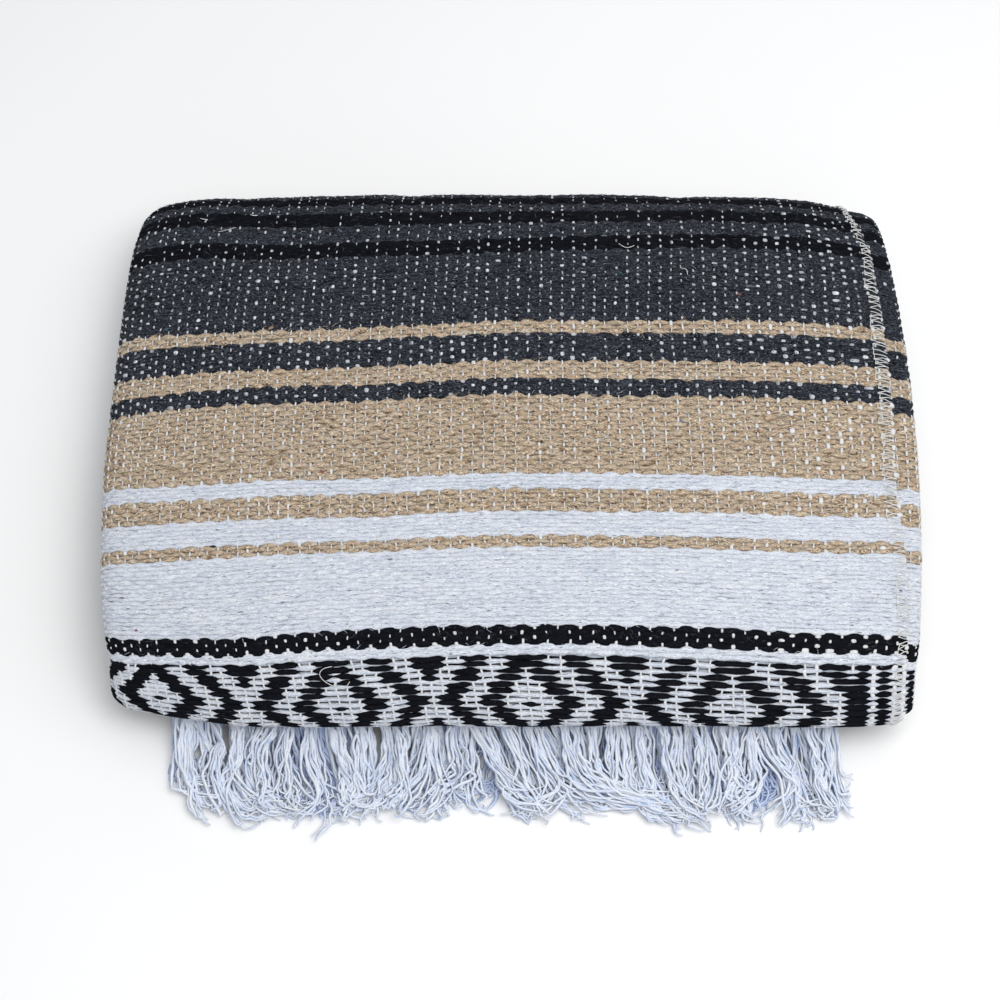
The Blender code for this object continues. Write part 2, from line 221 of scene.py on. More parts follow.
LEFT_TURN = HALF_WIDTH - ROLL_WIDTH
LEFT_ARC = quarter(ROLL_WIDTH, ROLL_DEPTH)
RIGHT_TURN = HALF_WIDTH - UNDER_ROLL_WIDTH
RIGHT_ARC = quarter(UNDER_ROLL_WIDTH, UNDER_ROLL_DEPTH)
ROLL_OVERTURN = 1.06          # a roll ends a little past a quarter turn
LEFT_ROLL = (-1, LEFT_TURN, LEFT_ARC, ROLL_WIDTH, ROLL_DEPTH)
RIGHT_ROLL = (1, RIGHT_TURN, RIGHT_ARC, UNDER_ROLL_WIDTH, UNDER_ROLL_DEPTH)
DROOP_FROM, EDGE_DROOP = 0.193, 14.0    # u from which the free edge drops, per metre squared
BACK_DROOP = 0.0028           # and its further drop at the back
UNDER_DROOP = 0.0010          # drop of the layer below there
DROOP_U, DROOP_S = (0.160, 0.192), (0.290, 0.335)
UNDER_RIPPLES = 0.5           # share of the outer cloth's ripples that the layer below has


def rolled(u, lift, straight, side, start, arc, width, depth):
    """X and inset of places on a layer that rolls down at one side, and is straight before."""
    turn = np.clip((side * u - start) / arc, 0, ROLL_OVERTURN) * math.pi / 2
    over = side * u > start
    x = np.where(over, side * (start + (width + lift) * np.sin(turn)), u)
    return x, np.where(over, depth - (depth + lift) * np.cos(turn), straight)


def on_outer(s, u, lift):
    """Places on the outer cloth, which rolls down on the left."""
    lift = lift + ripples(s, u)
    droop = EDGE_DROOP * np.maximum(u - DROOP_FROM, 0) ** 2
    droop = droop + BACK_DROOP * smooth_share(u, *DROOP_U) * smooth_share(s, *DROOP_S)
    return inset_place(s, *rolled(u, lift, droop - lift, *LEFT_ROLL))


def on_under(s, u, lift):
    """Places on the layer below, which shows on the right, where it is folded."""
    lift = lift + UNDER_RIPPLES * ripples(s, u)
    x, inset = rolled(u, lift, -lift, *RIGHT_ROLL)
    return inset_place(s, x, CLOTH + GAP + UNDER_DROOP * smooth_share(s, *DROOP_S) + inset)


# The side folds of the hidden layers: the share of the pack's half height of each one's middle
# and half thickness, how far its foot is set back from the side, and how far it bulges
SIDE_FOLDS = {
    # fold:   (middle, half,  setback, bulge)
    "second": (0.590, 0.190, 0.0066, 0.0068),
    "third":  (0.212, 0.168, 0.0066, 0.0066),
}


def core_path():
    """(y, z) of the hidden layers' outer surface, from the front slope to the underside."""
    keep = (PATH_S >= ENDS["front fold"]) & (PATH_S <= ENDS["underside"])
    inset = CLOTH + GAP
    y = PATH_Y[keep] + inset * np.sin(PATH_A[keep])
    z = PATH_Z[keep] - inset * np.cos(PATH_A[keep])
    front = np.where(z > PACK_HEIGHT / 2, FOLD_Y + FRONT_TUCK, LOWER_Y + CLOTH) + CORE_CLEARANCE
    y = np.maximum(y, front)
    s = np.concatenate([[0], np.cumsum(np.hypot(np.diff(y), np.diff(z)))])
    return s, y, z


CORE_S, CORE_Y, CORE_Z = core_path()


def on_side(side, fold, s, turn, lift):
    """Places on a side fold of a hidden layer, at a turn of 0 at its top to pi at its foot."""
    middle, half, setback, bulge = SIDE_FOLDS[fold]
    y = np.interp(s, CORE_S, CORE_Y)
    z = np.interp(s, CORE_S, CORE_Z)
    share = middle + (half + lift / (PACK_HEIGHT / 2)) * np.cos(turn)
    spine_y = np.clip(y, FOLD_Y + SPINE_INSET, -FRONT_Y - SPINE_INSET)
    x = side * (HALF_WIDTH - setback + (bulge + lift) * np.sqrt(np.sin(turn)))
    rise = PACK_HEIGHT / 2
    return settled(x, spine_y + (y - spine_y) * share, rise + (z - rise) * share)


# ---- smooth lines and unevenness
MIXERS = (0x9E3779B97F4A7C15, 0xC2B2AE3D27D4EB4F, 0x165667B19E3779F9)


def hashed(*keys):
    """Even numbers from 0 to 1 out of whole numbers."""
    keys = np.broadcast_arrays(*keys)
    value = np.zeros(keys[0].shape, np.uint64)
    for key, mixer in zip(keys, MIXERS):
        value = value + key.astype(np.int64).astype(np.uint64) * np.uint64(mixer)
        value = (value ^ (value >> np.uint64(29))) * np.uint64(0xBF58476D1CE4E5B9)
    value = (value ^ (value >> np.uint64(32))) * np.uint64(0x94D049BB133111EB)
    return ((value ^ (value >> np.uint64(31))) >> np.uint64(11)).astype(float) / 2.0 ** 53


def noise(a, b, seed):
    """Smooth noise from -1 to 1 over a plane whose cells are one unit wide."""
    a, b = np.broadcast_arrays(a, b)
    cell_a, cell_b = np.floor(a), np.floor(b)
    fa, fb = a - cell_a, b - cell_b
    fa, fb = fa * fa * (3 - 2 * fa), fb * fb * (3 - 2 * fb)

    def corner(da, db):
        return hashed(cell_a + da, cell_b + db, seed) * 2 - 1

    low = corner(0, 0) * (1 - fa) + corner(1, 0) * fa
    high = corner(0, 1) * (1 - fa) + corner(1, 1) * fa
    return low * (1 - fb) + high * fb


def uneven(a, b, layers):
    """Layers of noise added up: the size of each, its reach along a and b, and a seed."""
    return sum(size * noise(a / reach_a, b / reach_b, seed)
               for size, reach_a, reach_b, seed in layers)


def smooth_line(marks, count):
    """A smooth line of so many points through the marks."""
    at = np.linspace(0, len(marks) - 1, count)
    low = np.clip(at.astype(int), 0, len(marks) - 2)
    share = (at - low)[:, None]
    before = marks[np.maximum(low - 1, 0)]
    after = marks[np.minimum(low + 2, len(marks) - 1)]
    a, b = marks[low], marks[low + 1]
    return 0.5 * (2 * a + (b - before) * share
                  + (2 * before - 5 * a + 4 * b - after) * share ** 2
                  + (3 * a - before - 3 * b + after) * share ** 3)


RIPPLES = ((0.00055, 0.048, 0.062, 3), (0.00026, 0.019, 0.023, 4))     # by s and u


def ripples(s, u):
    """Soft hand-laid unevenness of the folded cloth, in metres."""
    return uneven(s, u, RIPPLES) + creases(s, u)


# Soft troughs in mm: s and u of one end and of the other, how low, and half width
CREASES = [
    (60, -150, 28, -120, -0.9, 7.5),
    (105, -188, 70, -168, -0.8, 8.5),
    (52, -60, 30, -38, -0.7, 8),
    (70, 30, 34, 52, -0.6, 9),
    (58, 128, 30, 112, -0.8, 7),
    (98, 176, 48, 160, -0.7, 9),
    (190, -180, 160, -150, -0.5, 11),
    (245, 120, 262, 176, -0.6, 10),
    (300, 60, 322, 110, -0.7, 9),
    (296, -160, 322, -112, -0.7, 8.5),
    (352, -60, 392, -40, -0.9, 9),
    (350, 90, 400, 112, -1, 9.5),
    (360, -150, 398, -168, -0.9, 8),
    (356, 165, 405, 150, -0.8, 8.5),
    (372, 10, 415, 22, -0.7, 7),
]


def creases(s, u):
    """Height of the creases at a place."""
    total = 0.0
    for s0, u0, s1, u1, depth, half in np.array(CREASES) * MM:
        ds, du = s1 - s0, u1 - u0
        share = np.clip(((s - s0) * ds + (u - u0) * du) / (ds * ds + du * du), 0, 1)
        away = (s - s0 - share * ds) ** 2 + (u - u0 - share * du) ** 2
        total = total + depth * np.exp(-away / half ** 2)
    return total


# ---- warps and picks
# u of some warps in millimetres, from the left roll to the free edge on the right, at a few s
WARP_MARKS = (0, 7, 25, 43, 61, 71, 76)
WARP_ROWS = (0.020, 0.038, 0.063, 0.100, 0.160, 0.260, 0.335, 0.450)
WARP_PLACES = (
    (-212.5, -179.0, -84.0, 12.0, 116.0, 177.0, 203.0),
    (-212.5, -181.5, -86.1, 10.4, 115.3, 176.5, 203.0),
    (-213.0, -185.0, -90.9, 6.9, 113.3, 175.5, 203.0),
    (-213.0, -188.0, -96.0, 4.0, 112.0, 173.5, 202.0),
    (-213.0, -187.0, -96.0, 3.5, 110.0, 170.0, 197.0),
    (-213.0, -185.0, -94.5, 3.5, 109.0, 167.0, 195.5),
    (-213.0, -184.0, -93.0, 6.5, 114.5, 172.0, 194.5),
    (-213.0, -184.0, -93.0, 6.0, 113.0, 170.0, 191.5),
)
LAST_WARP = 76
# Unevenness of the warps, by s and warp
WARP_WANDER = ((0.00055, 0.021, 1 / 0.83, 11), (0.0007, 0.07, 9, 12))
# The serged free edge: its u at some s
FREE_EDGE_S = (0.000, 0.078, 0.104, 0.126, 0.131, 0.155, 0.175, 0.223, 0.255, 0.277, 0.292,
               0.315, 0.327, 0.338, 0.347, 0.440, 0.728)
FREE_EDGE_U = (0.2020, 0.2018, 0.2004, 0.1993, 0.1980, 0.1958, 0.1950, 0.1961, 0.1964, 0.1968,
               0.1965, 0.1974, 0.1955, 0.1938, 0.1924, 0.1915, 0.1915)


def free_edge(s):
    """u of the serged free edge at s."""
    return np.interp(s, FREE_EDGE_S, FREE_EDGE_U)


def warp_u(warp, s):
    """u of warps at s, a little wandering."""
    rows = np.array([np.interp(warp, WARP_MARKS, row) for row in WARP_PLACES]) * MM
    place = np.clip(np.interp(s, WARP_ROWS, np.arange(len(WARP_ROWS))), 0, len(WARP_ROWS) - 1.001)
    low = place.astype(int)
    share = place - low
    index = np.arange(len(warp))
    even = rows[low, index] * (1 - share) + rows[low + 1, index] * share
    last = np.interp(s, WARP_ROWS, np.array(WARP_PLACES)[:, -1]) * MM
    slack = (free_edge(s) - last) * smooth_share(warp, *WARP_MARKS[-2:])
    return even + slack + uneven(s, warp, WARP_WANDER) * (warp < LAST_WARP)


# How far the stripes stray along s from their place in the middle, in millimetres
BOW_U = (-0.205, -0.190, -0.160, -0.116, -0.075, -0.040, 0.0, 0.060, 0.110, 0.150, 0.180, 0.205)
BOW_S = (0.020, 0.0405, 0.066, 0.0816, 0.137, 0.165, 0.218, 0.258, 0.306, 0.345, 0.400)
BOW = (
    (-1.0, -1.0, -1.5, -2.4, -2.4, 0.5, 0.0, -2.0, -4.5, -5.0, -5.0, -5.0),
    (-1.0, -1.0, -1.5, -2.4, -2.2, 0.8, 0.0, -2.0, -4.7, -5.0, -5.0, -5.0),
    (-12.0, -10.0, -6.0, -2.8, -2.2, -0.7, 0.3, -0.4, -1.8, -3.0, -3.2, -3.8),
    (-12.0, -10.6, -8.0, -3.8, -1.8, -0.8, 0.0, 0.0, -0.4, -2.4, -1.8, -4.6),
    (-6.0, -5.0, -3.0, -2.0, -2.2, -0.4, 1.0, 0.4, 0.6, 0.6, 1.1, 1.8),
    (-5.0, -4.2, -2.9, -2.0, -2.2, -0.4, 1.0, 0.2, 0.6, 0.6, 0.9, 1.1),
    (-6.0, -5.0, -3.2, -2.4, -2.3, -0.4, 1.3, 0.4, 1.1, 1.3, 1.4, 1.7),
    (-3.3, -3.3, -4.2, -5.2, -4.0, -2.5, 0.0, 0.0, 1.3, 2.7, 2.0, 1.5),
    (1.4, 1.4, 0.0, -2.2, -1.4, -1.0, 1.2, 4.0, 7.0, 6.6, 5.6, 5.4),
    (3.0, 3.0, 1.0, 0.0, 0.0, 0.0, 0.0, 1.0, 2.0, 2.0, 2.0, 2.0),
    (0.0, 0.0, 0.0, 0.0, 0.0, 0.0, 0.0, 0.0, 0.0, 0.0, 0.0, 0.0),
)
BOW_GRID_S, BOW_GRID_U = -0.02, -0.225      # first s and u of the fine grid
BOW_GRID_STEP = 0.002
BOW_BLUR = 7                  # steps over which it is rounded


def smooth_bow():
    """The stripes' bow on a fine grid, rounded over between the given places."""
    us = np.arange(BOW_GRID_U, 0.001 - BOW_GRID_U, BOW_GRID_STEP)
    ss = np.arange(BOW_GRID_S, 0.75, BOW_GRID_STEP)
    rows = np.array([np.interp(us, BOW_U, row) for row in BOW])
    fine = np.array([np.interp(ss, BOW_S, rows[:, column]) for column in range(len(us))]).T
    window = np.hanning(2 * BOW_BLUR + 3)[1:-1]
    window /= window.sum()
    for axis in (0, 1):
        pad = [(BOW_BLUR, BOW_BLUR) if side == axis else (0, 0) for side in (0, 1)]
        wide = np.pad(fine, pad, mode="edge")
        fine = np.apply_along_axis(lambda line: np.convolve(line, window, "valid"), axis, wide)
    return fine * MM


BOW_FINE = smooth_bow()


def bow(s, u):
    """The stripes' bow at a place, in metres along s."""
    row = np.clip((s - BOW_GRID_S) / BOW_GRID_STEP, 0, BOW_FINE.shape[0] - 1.001)
    column = np.clip((u - BOW_GRID_U) / BOW_GRID_STEP, 0, BOW_FINE.shape[1] - 1.001)
    r, c = row.astype(int), column.astype(int)
    fr, fc = row - r, column - c
    low = BOW_FINE[r, c] * (1 - fc) + BOW_FINE[r, c + 1] * fc
    high = BOW_FINE[r + 1, c] * (1 - fc) + BOW_FINE[r + 1, c + 1] * fc
    return low * (1 - fr) + high * fr


BAND_MIDDLE = 0.0405          # s of the diamonds' middle row
BAND_ROW = 0.0035             # from one black pick of the band to the next
BAND_ROWS = 15
MIDDLE_ROW = (BAND_ROWS + 1) // 2
BAND_EYES = 18                # warps from one diamond's middle to the next
FIRST_EYE = 7
# How far the diamonds' outlines are from their middles, in warps, by row
BAND_SHIFTS = (0, 0, 1, 1, 2, 2, 3, 3, 2, 2, 1, 1, 0, 0, 3)
LAST_WHITE_EYE = 7            # the last row in which the middle of a diamond is still white
PLAIN_FROM = 71               # the warps at the selvedge are woven plain in the band too
PLAIN_ROWS = 2                # the first of them only in so many rows

# Stripes from under the front fold up over the pack and down its back: yarn, s of end, picks
STRIPES = [
    ("white", 0.0140, 3), ("band", 0.0668, 0), ("white", 0.0719, 2),
    ("black", 0.0816, 4), ("white", 0.1240, 18), ("tan", 0.1305, 3),
    ("white", 0.1442, 6), ("tan", 0.1573, 5), ("white", 0.1662, 4),
    ("tan", 0.2130, 18), ("charcoal", 0.2230, 4), ("tan", 0.2346, 5),
    ("charcoal", 0.2522, 7), ("tan", 0.2601, 3), ("charcoal", 0.3050, 20),
    ("black", 0.3145, 4), ("charcoal", 0.3265, 5), ("black", 0.3366, 4),
    ("charcoal", 0.3448, 4), ("black", 0.3534, 4), ("charcoal", 0.3735, 9),
    ("tan", 0.3810, 3), ("charcoal", 0.3985, 7), ("tan", 0.4095, 4),
    ("charcoal", 0.4190, 4), ("tan", 0.4420, 10), ("white", 0.4540, 5),
    ("tan", 0.4680, 6), ("white", 0.4820, 6), ("tan", 0.4900, 3),
    ("white", 0.5330, 18), ("black", 0.5430, 4), ("white", 0.5900, 20),
    ("black", 0.6000, 4), ("white", 0.6420, 18), ("tan", 0.6490, 3),
    ("white", 0.6620, 6), ("tan", 0.6750, 5), ("white", 0.6840, 4),
    ("tan", 0.6960, 5), ("charcoal", 0.7060, 4), ("tan", 0.7150, 4),
    ("charcoal", WHOLE - 0.001, 5),
]


def list_picks():
    """(yarn, s, pitch, row) of every pick in order; row is the band's row, else None."""
    picks, start = [], FACE_START
    for yarn, end, count in STRIPES:
        if yarn == "band":
            for row in range(BAND_ROWS, 0, -1):
                middle = BAND_MIDDLE + (MIDDLE_ROW - row) * BAND_ROW
                picks.append(("black", middle, BAND_ROW / 2, row))
                if row > 1:
                    picks.append(("white", middle + BAND_ROW / 2, BAND_ROW / 2, row - 0.5))
        else:
            pitch = (end - start) / count
            for number in range(count):
                picks.append((yarn, start + (number + 0.5) * pitch, pitch, None))
        start = end
    return picks


PICKS = list_picks()


def white_over(row, warp):
    """Whether a white warp shows over the band's black pick of that row."""
    shift = BAND_SHIFTS[int(row) - 1]
    away = np.abs((warp - FIRST_EYE + BAND_EYES // 2) % BAND_EYES - BAND_EYES // 2)
    over = (away - shift) % 4 >= 2
    over = over | ((away == 0) & (row == LAST_WHITE_EYE))
    selvedge = (warp % 2 == 1) | (warp >= LAST_WARP - 1)
    selvedge = selvedge & ~((warp == PLAIN_FROM) & (row > PLAIN_ROWS))
    return np.where(warp >= PLAIN_FROM, selvedge, over)


def pick_over(number):
    """1 where a pick lies over a warp and 0 where it lies under it, for all warps."""
    yarn, _, _, row = PICKS[number]
    warp = np.arange(LAST_WARP + 1)
    if row is None:
        return ((number + warp) % 2 == 0).astype(float)
    if yarn == "black":
        return 1.0 - white_over(row, warp)
    return (white_over(row - 0.5, warp) * 0.5 + white_over(row + 0.5, warp) * 0.5) ** 0.7


# Half width as a share of the pitch over and under a warp, half height, sink under a warp, and
# how square the floats' ends are
YARN_FORMS = {
    # form:        (over, under, height, sink, fullness)
    "white":       (0.810, 0.500, 0.00066, 0.00050, 1.2),
    "tan":         (0.800, 0.410, 0.00086, 0.00120, 1.5),
    "charcoal":    (0.810, 0.480, 0.00080, 0.00085, 1.4),
    "black":       (0.840, 0.560, 0.00090, 0.00070, 1.7),
    "band black":  (1.035, 0.290, 0.00120, 0.00090, 2.2),
    "band white":  (0.760, 0.180, 0.00085, 0.00120, 1.5),
}
# Unevenness of the picks, by u and the pick's number
PICK_WANDER = ((0.00028, 0.016, 1 / 0.37, 21), (0.00018, 0.005, 1, 22))
BAND_WANDER = ((0.00028, 0.0075, 1 / 0.71, 28),)
BAND_PINCHES = ((0.9, 0.0045, 1 / 0.9, 29),)
PICK_SLUBS = ((0.16, 0.013, 1 / 1.7, 23), (0.16, 0.0040, 1, 24))
PICK_RISE = ((0.00012, 0.009, 1 / 2.3, 25),)
PICK_SPREAD = ((0.00040, 1 / 0.9, 1 / 1.3, 27),)                       # by warp
SECTION = np.radians((-104.0, -52.0, 0.0, 52.0, 104.0))
RINGS_PER_WARP = 3
BACK_RINGS = 2                # and fewer on the picks at the back
BACK_RINGS_FROM = 0.310       # s where the back's picks start
FIRST_BLACK_S = 0.080         # only the black stripe above the band starts before this s
EDGE_FILL = 0.20              # how much fuller its first pick is where it goes under a warp


def between_warps(values, warps):
    """Values at whole warps, eased between them."""
    low = np.clip(np.floor(warps).astype(int), 0, len(values) - 2)
    share = warps - low
    share = (1 - np.cos(np.pi * share)) / 2
    return values[low] * (1 - share) + values[low + 1] * share


def on_edge(number):
    """Whether a pick is the first of the black stripe above the band."""
    yarn, middle, _, row = PICKS[number]
    return (yarn == "black" and row is None and PICKS[number - 1][0] == "white"
            and middle < FIRST_BLACK_S)


def threaded(points, along, around, seed):
    """Points with thread coordinates: mm along the yarn, place around it, and its own number."""
    thread = np.empty(points.shape)
    thread[..., 0] = along
    thread[..., 1] = around
    thread[..., 2] = seed
    return points, thread


def lay_pick(surface, number, warps, u_of, shift=0.0, first=0):
    """Points and thread coordinates of one pick over a run of warps, counted from the first."""
    yarn, middle, pitch, row = PICKS[number]
    form = yarn if row is None else "band " + yarn
    over_share, under_share, height, sink, fullness = YARN_FORMS[form]
    if on_edge(number):
        under_share = under_share + EDGE_FILL
    plain = pick_over(number)[first:]
    fullest = hashed(np.arange(len(plain)), number, 26)
    over = between_warps(plain * (0.84 + 0.24 * fullest), warps)
    over = 1 - (1 - np.clip(over, 0, 1)) ** fullness
    u = u_of(warps, middle)
    u = u + uneven(warps, number, PICK_SPREAD) * (warps > 0) * (warps < LAST_WARP)
    s = middle + shift + bow(middle, u) + uneven(u, number, PICK_WANDER)
    if row is not None:
        s = s + uneven(u, number, BAND_WANDER)
        under_share = under_share * (1 + uneven(u, number, BAND_PINCHES))
    slub = 1 + uneven(u, number, PICK_SLUBS)
    half = pitch * (under_share + (over_share - under_share) * over) * slub
    rise = -height - sink * (1 - over) + uneven(u, number, PICK_RISE)
    across = np.sin(SECTION)
    around_s = s[:, None] + half[:, None] * across
    lift = rise[:, None] + height * (slub * 0.5 + 0.5)[:, None] * np.cos(SECTION)
    points = surface(around_s, np.broadcast_to(u[:, None], around_s.shape), lift)
    return threaded(points[None], u[:, None] * 1000, across * 1.3, number * 1.37)


# ---- meshes
def placed(name, data):
    """A new object in the scene."""
    item = bpy.data.objects.new(name, data)
    bpy.context.scene.collection.objects.link(item)
    return item


def link(name, mesh, material):
    """A smooth-shaded piece of the dressed part."""
    mesh.polygons.foreach_set("use_smooth", np.ones(len(mesh.polygons), bool))
    mesh.materials.append(material)
    piece = placed(name, mesh)
    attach(piece, "root")
    return piece


def quad_mesh(name, points, faces, corner_map=None, thread=None):
    """A mesh of quads, with a map for its corners and thread coordinates if they are given."""
    mesh = bpy.data.meshes.new(name)
    count = len(faces)
    mesh.vertices.add(len(points))
    mesh.vertices.foreach_set("co", np.ascontiguousarray(points, np.float32).ravel())
    mesh.loops.add(count * 4)
    mesh.loops.foreach_set("vertex_index", np.ascontiguousarray(faces, np.int32).ravel())
    mesh.polygons.add(count)
    mesh.polygons.foreach_set("loop_start", np.arange(0, count * 4, 4, dtype=np.int32))
    mesh.update(calc_edges=True)
    if corner_map is not None:
        layer = mesh.uv_layers.new(name="OFBake")
        layer.data.foreach_set("uv", np.ascontiguousarray(corner_map, np.float32).ravel())
    if thread is not None:
        held = mesh.attributes.new("thread", "FLOAT_VECTOR", "POINT")
        held.data.foreach_set("vector", np.ascontiguousarray(thread, np.float32).ravel())
    return mesh


def strips(name, blocks, material, closed=False, columns=1):
    """One mesh of many strips.  A block holds (points, thread) of strips x rings x section."""
    all_points, all_thread, all_faces, all_map = [], [], [], []
    start = 0
    rows = sum(points.shape[0] for points, _ in blocks)
    per_column = math.ceil(rows / columns)
    done = 0
    for points, thread in blocks:
        count, rings, section, _ = points.shape
        spans = section if closed else section - 1
        strip, ring, place = np.meshgrid(np.arange(count), np.arange(rings - 1),
                                         np.arange(spans), indexing="ij")
        near = (strip * rings + ring) * section
        following = (place + 1) % section
        faces = np.stack([near + place, near + following, near + section + following,
                          near + section + place], -1).reshape(-1, 4)
        flat = points.reshape(-1, 3)
        centre = points.mean(axis=2).reshape(-1, 3)
        corners = flat[faces]
        normal = np.cross(corners[:, 2] - corners[:, 0], corners[:, 3] - corners[:, 1])
        out = corners.mean(axis=1) - centre[(strip * rings + ring).reshape(-1)]
        turned = (normal * out).sum() < 0
        order = (strip + done).astype(float)
        column = np.floor(order / per_column)
        line = order - column * per_column
        x0 = (column + 0.01 + 0.98 * ring / (rings - 1)) / columns
        x1 = (column + 0.01 + 0.98 * (ring + 1) / (rings - 1)) / columns
        y0 = (line + 0.04 + 0.92 * place / spans) / per_column
        y1 = (line + 0.04 + 0.92 * (place + 1) / spans) / per_column
        place_map = np.stack([np.stack(pair, -1) for pair in
                              ((x0, y0), (x0, y1), (x1, y1), (x1, y0))], -2).reshape(-1, 4, 2)
        if turned:
            faces = faces[:, ::-1]
            place_map = place_map[:, ::-1]
        all_points.append(flat)
        all_thread.append(thread.reshape(-1, 3))
        all_faces.append(faces + start)
        all_map.append(place_map)
        start += len(flat)
        done += count
    mesh = quad_mesh(name, np.concatenate(all_points), np.concatenate(all_faces),
                     np.concatenate(all_map), np.concatenate(all_thread))
    return link(name, mesh, material)


# ---- materials
def srgb(red, green, blue):
    """A colour given in display values from 0 to 255."""
    def linear(value):
        value /= 255
        return value / 12.92 if value <= 0.04045 else ((value + 0.055) / 1.055) ** 2.4
    return (linear(red), linear(green), linear(blue), 1.0)


class Graph:
    """Short forms for building a node tree."""

    def __init__(self, name):
        self.material = bpy.data.materials.new(name)
        self.material.use_nodes = True
        self.nodes = self.material.node_tree.nodes
        self.links = self.material.node_tree.links
        self.surface = self.nodes["Principled BSDF"]

    def add(self, kind, *values, **settings):
        """A new node with its settings, and values for its first sockets."""
        node = self.nodes.new(kind)
        for key, value in settings.items():
            setattr(node, key, value)
        for value, socket in zip(values, node.inputs):
            self.put(value, socket)
        return node

    def put(self, value, socket):
        """Link a node's output to a socket, or set the socket to a plain value."""
        if isinstance(value, bpy.types.NodeSocket):
            self.links.new(value, socket)
        else:
            socket.default_value = value

    def scaled(self, vector, scale):
        """A vector times a fixed one."""
        return self.add("ShaderNodeVectorMath", vector, scale, operation="MULTIPLY").outputs[0]

    def noise(self, vector, scale, detail=2.0, roughness=0.5):
        """Smooth noise over a scaled vector."""
        node = self.add("ShaderNodeTexNoise", self.scaled(vector, scale))
        for name, number in (("Scale", 1.0), ("Detail", detail), ("Roughness", roughness)):
            node.inputs[name].default_value = number
        return node.outputs["Fac"]

    def ramp(self, value, stops):
        """Colours by value, from stops of (place, colour)."""
        node = self.add("ShaderNodeValToRGB", value)
        elements = node.color_ramp.elements
        while len(elements) < len(stops):
            elements.new(0.5)
        for element, (place, colour) in zip(elements, stops):
            element.position = place
            element.color = colour if len(colour) == 4 else (*colour, 1.0)
        return node.outputs[0]

    def span(self, value, low, high, from_low=0.0, from_high=1.0):
        """A value moved from one span of numbers to another."""
        return self.add("ShaderNodeMapRange", value, from_low, from_high, low, high).outputs[0]

    def math(self, operation, a, b):
        """A sum of two values, each a number or a node's output."""
        return self.add("ShaderNodeMath", a, b, operation=operation).outputs[0]

    def mix(self, share, a, b, blend="MIX"):
        """Colour b over colour a."""
        node = self.add("ShaderNodeMix", share, data_type="RGBA", blend_type=blend)
        self.put(a, node.inputs[6])
        self.put(b, node.inputs[7])
        return node.outputs[2]

    def toned(self, colour, tone):
        """A colour times a number."""
        grey = self.add("ShaderNodeCombineColor", tone, tone, tone).outputs[0]
        return self.mix(1.0, colour, grey, "MULTIPLY")

    def coat(self, colour, roughness, sheen):
        """The colour and the nap of the surface."""
        self.put(colour, self.surface.inputs["Base Color"])
        self.surface.inputs["Roughness"].default_value = roughness
        self.surface.inputs["Sheen Weight"].default_value = sheen

    def bump(self, height, strength, distance):
        """Relief of the surface, by a height."""
        node = self.add("ShaderNodeBump", strength, distance)
        self.put(height, node.inputs["Height"])
        self.put(node.outputs[0], self.surface.inputs["Normal"])


def yarn_material(name, shades, flecks, streak, edge, sheen, bump, roughness=0.92,
                  fleck_size=(0.45, 1.3), specular=0.2, drift=0.055):
    """Spun yarn: shades that drift along it, fibres drawn out along it, and odd flecks.

    A fleck is a shade, the least noise that shows it, and its size if that isn't fleck_size.  The
    yarn is darkened towards its sides, down to the tone edge: painted shade, as of the crevices
    between yarns.
    """
    graph = Graph(name)
    thread = graph.add("ShaderNodeAttribute", attribute_name="thread").outputs["Vector"]
    drifting = graph.noise(thread, (drift, 0.35, 3.1), 2.0, 0.6)
    spread = graph.span(drifting, 0.0, 1.0, 0.30, 0.70)
    last = len(shades) - 1
    colour = graph.ramp(spread, [(number / last, srgb(*shade))
                                 for number, shade in enumerate(shades)])
    fibre = graph.noise(thread, (0.42, 2.6, 7.7), 3.0, 0.62)
    fine = graph.noise(thread, (1.3, 6.5, 5.1), 2.0, 0.6)
    both = graph.math("ADD", graph.math("MULTIPLY", fibre, 0.65),
                      graph.math("MULTIPLY", fine, 0.35))
    colour = graph.toned(colour, graph.span(both, *streak, 0.32, 0.68))
    for number, (shade, least, *size) in enumerate(flecks):
        along, across = size or fleck_size
        spot = graph.noise(graph.scaled(thread, (1.0, 1.0, 1.0 + 0.37 * number)),
                           (along, across, 4.3 + number), 1.0)
        share = graph.span(spot, 0.0, 1.0, least, least + 0.05)
        colour = graph.mix(share, colour, srgb(*shade))
    # painted shade: the yarn's colour is darkened towards its sides, down to edge, as the shade in
    # the crevices between yarns
    around = graph.add("ShaderNodeSeparateXYZ", thread).outputs[1]
    away = graph.math("POWER", graph.math("ABSOLUTE", around, 0.0), 2.0)
    colour = graph.toned(colour, graph.span(away, 1.0, edge, 0.35, 1.5))
    graph.coat(colour, roughness, sheen)
    graph.surface.inputs["Sheen Roughness"].default_value = 0.6
    graph.surface.inputs["Specular IOR Level"].default_value = specular
    graph.bump(both, bump, 0.0004)
    return graph.material


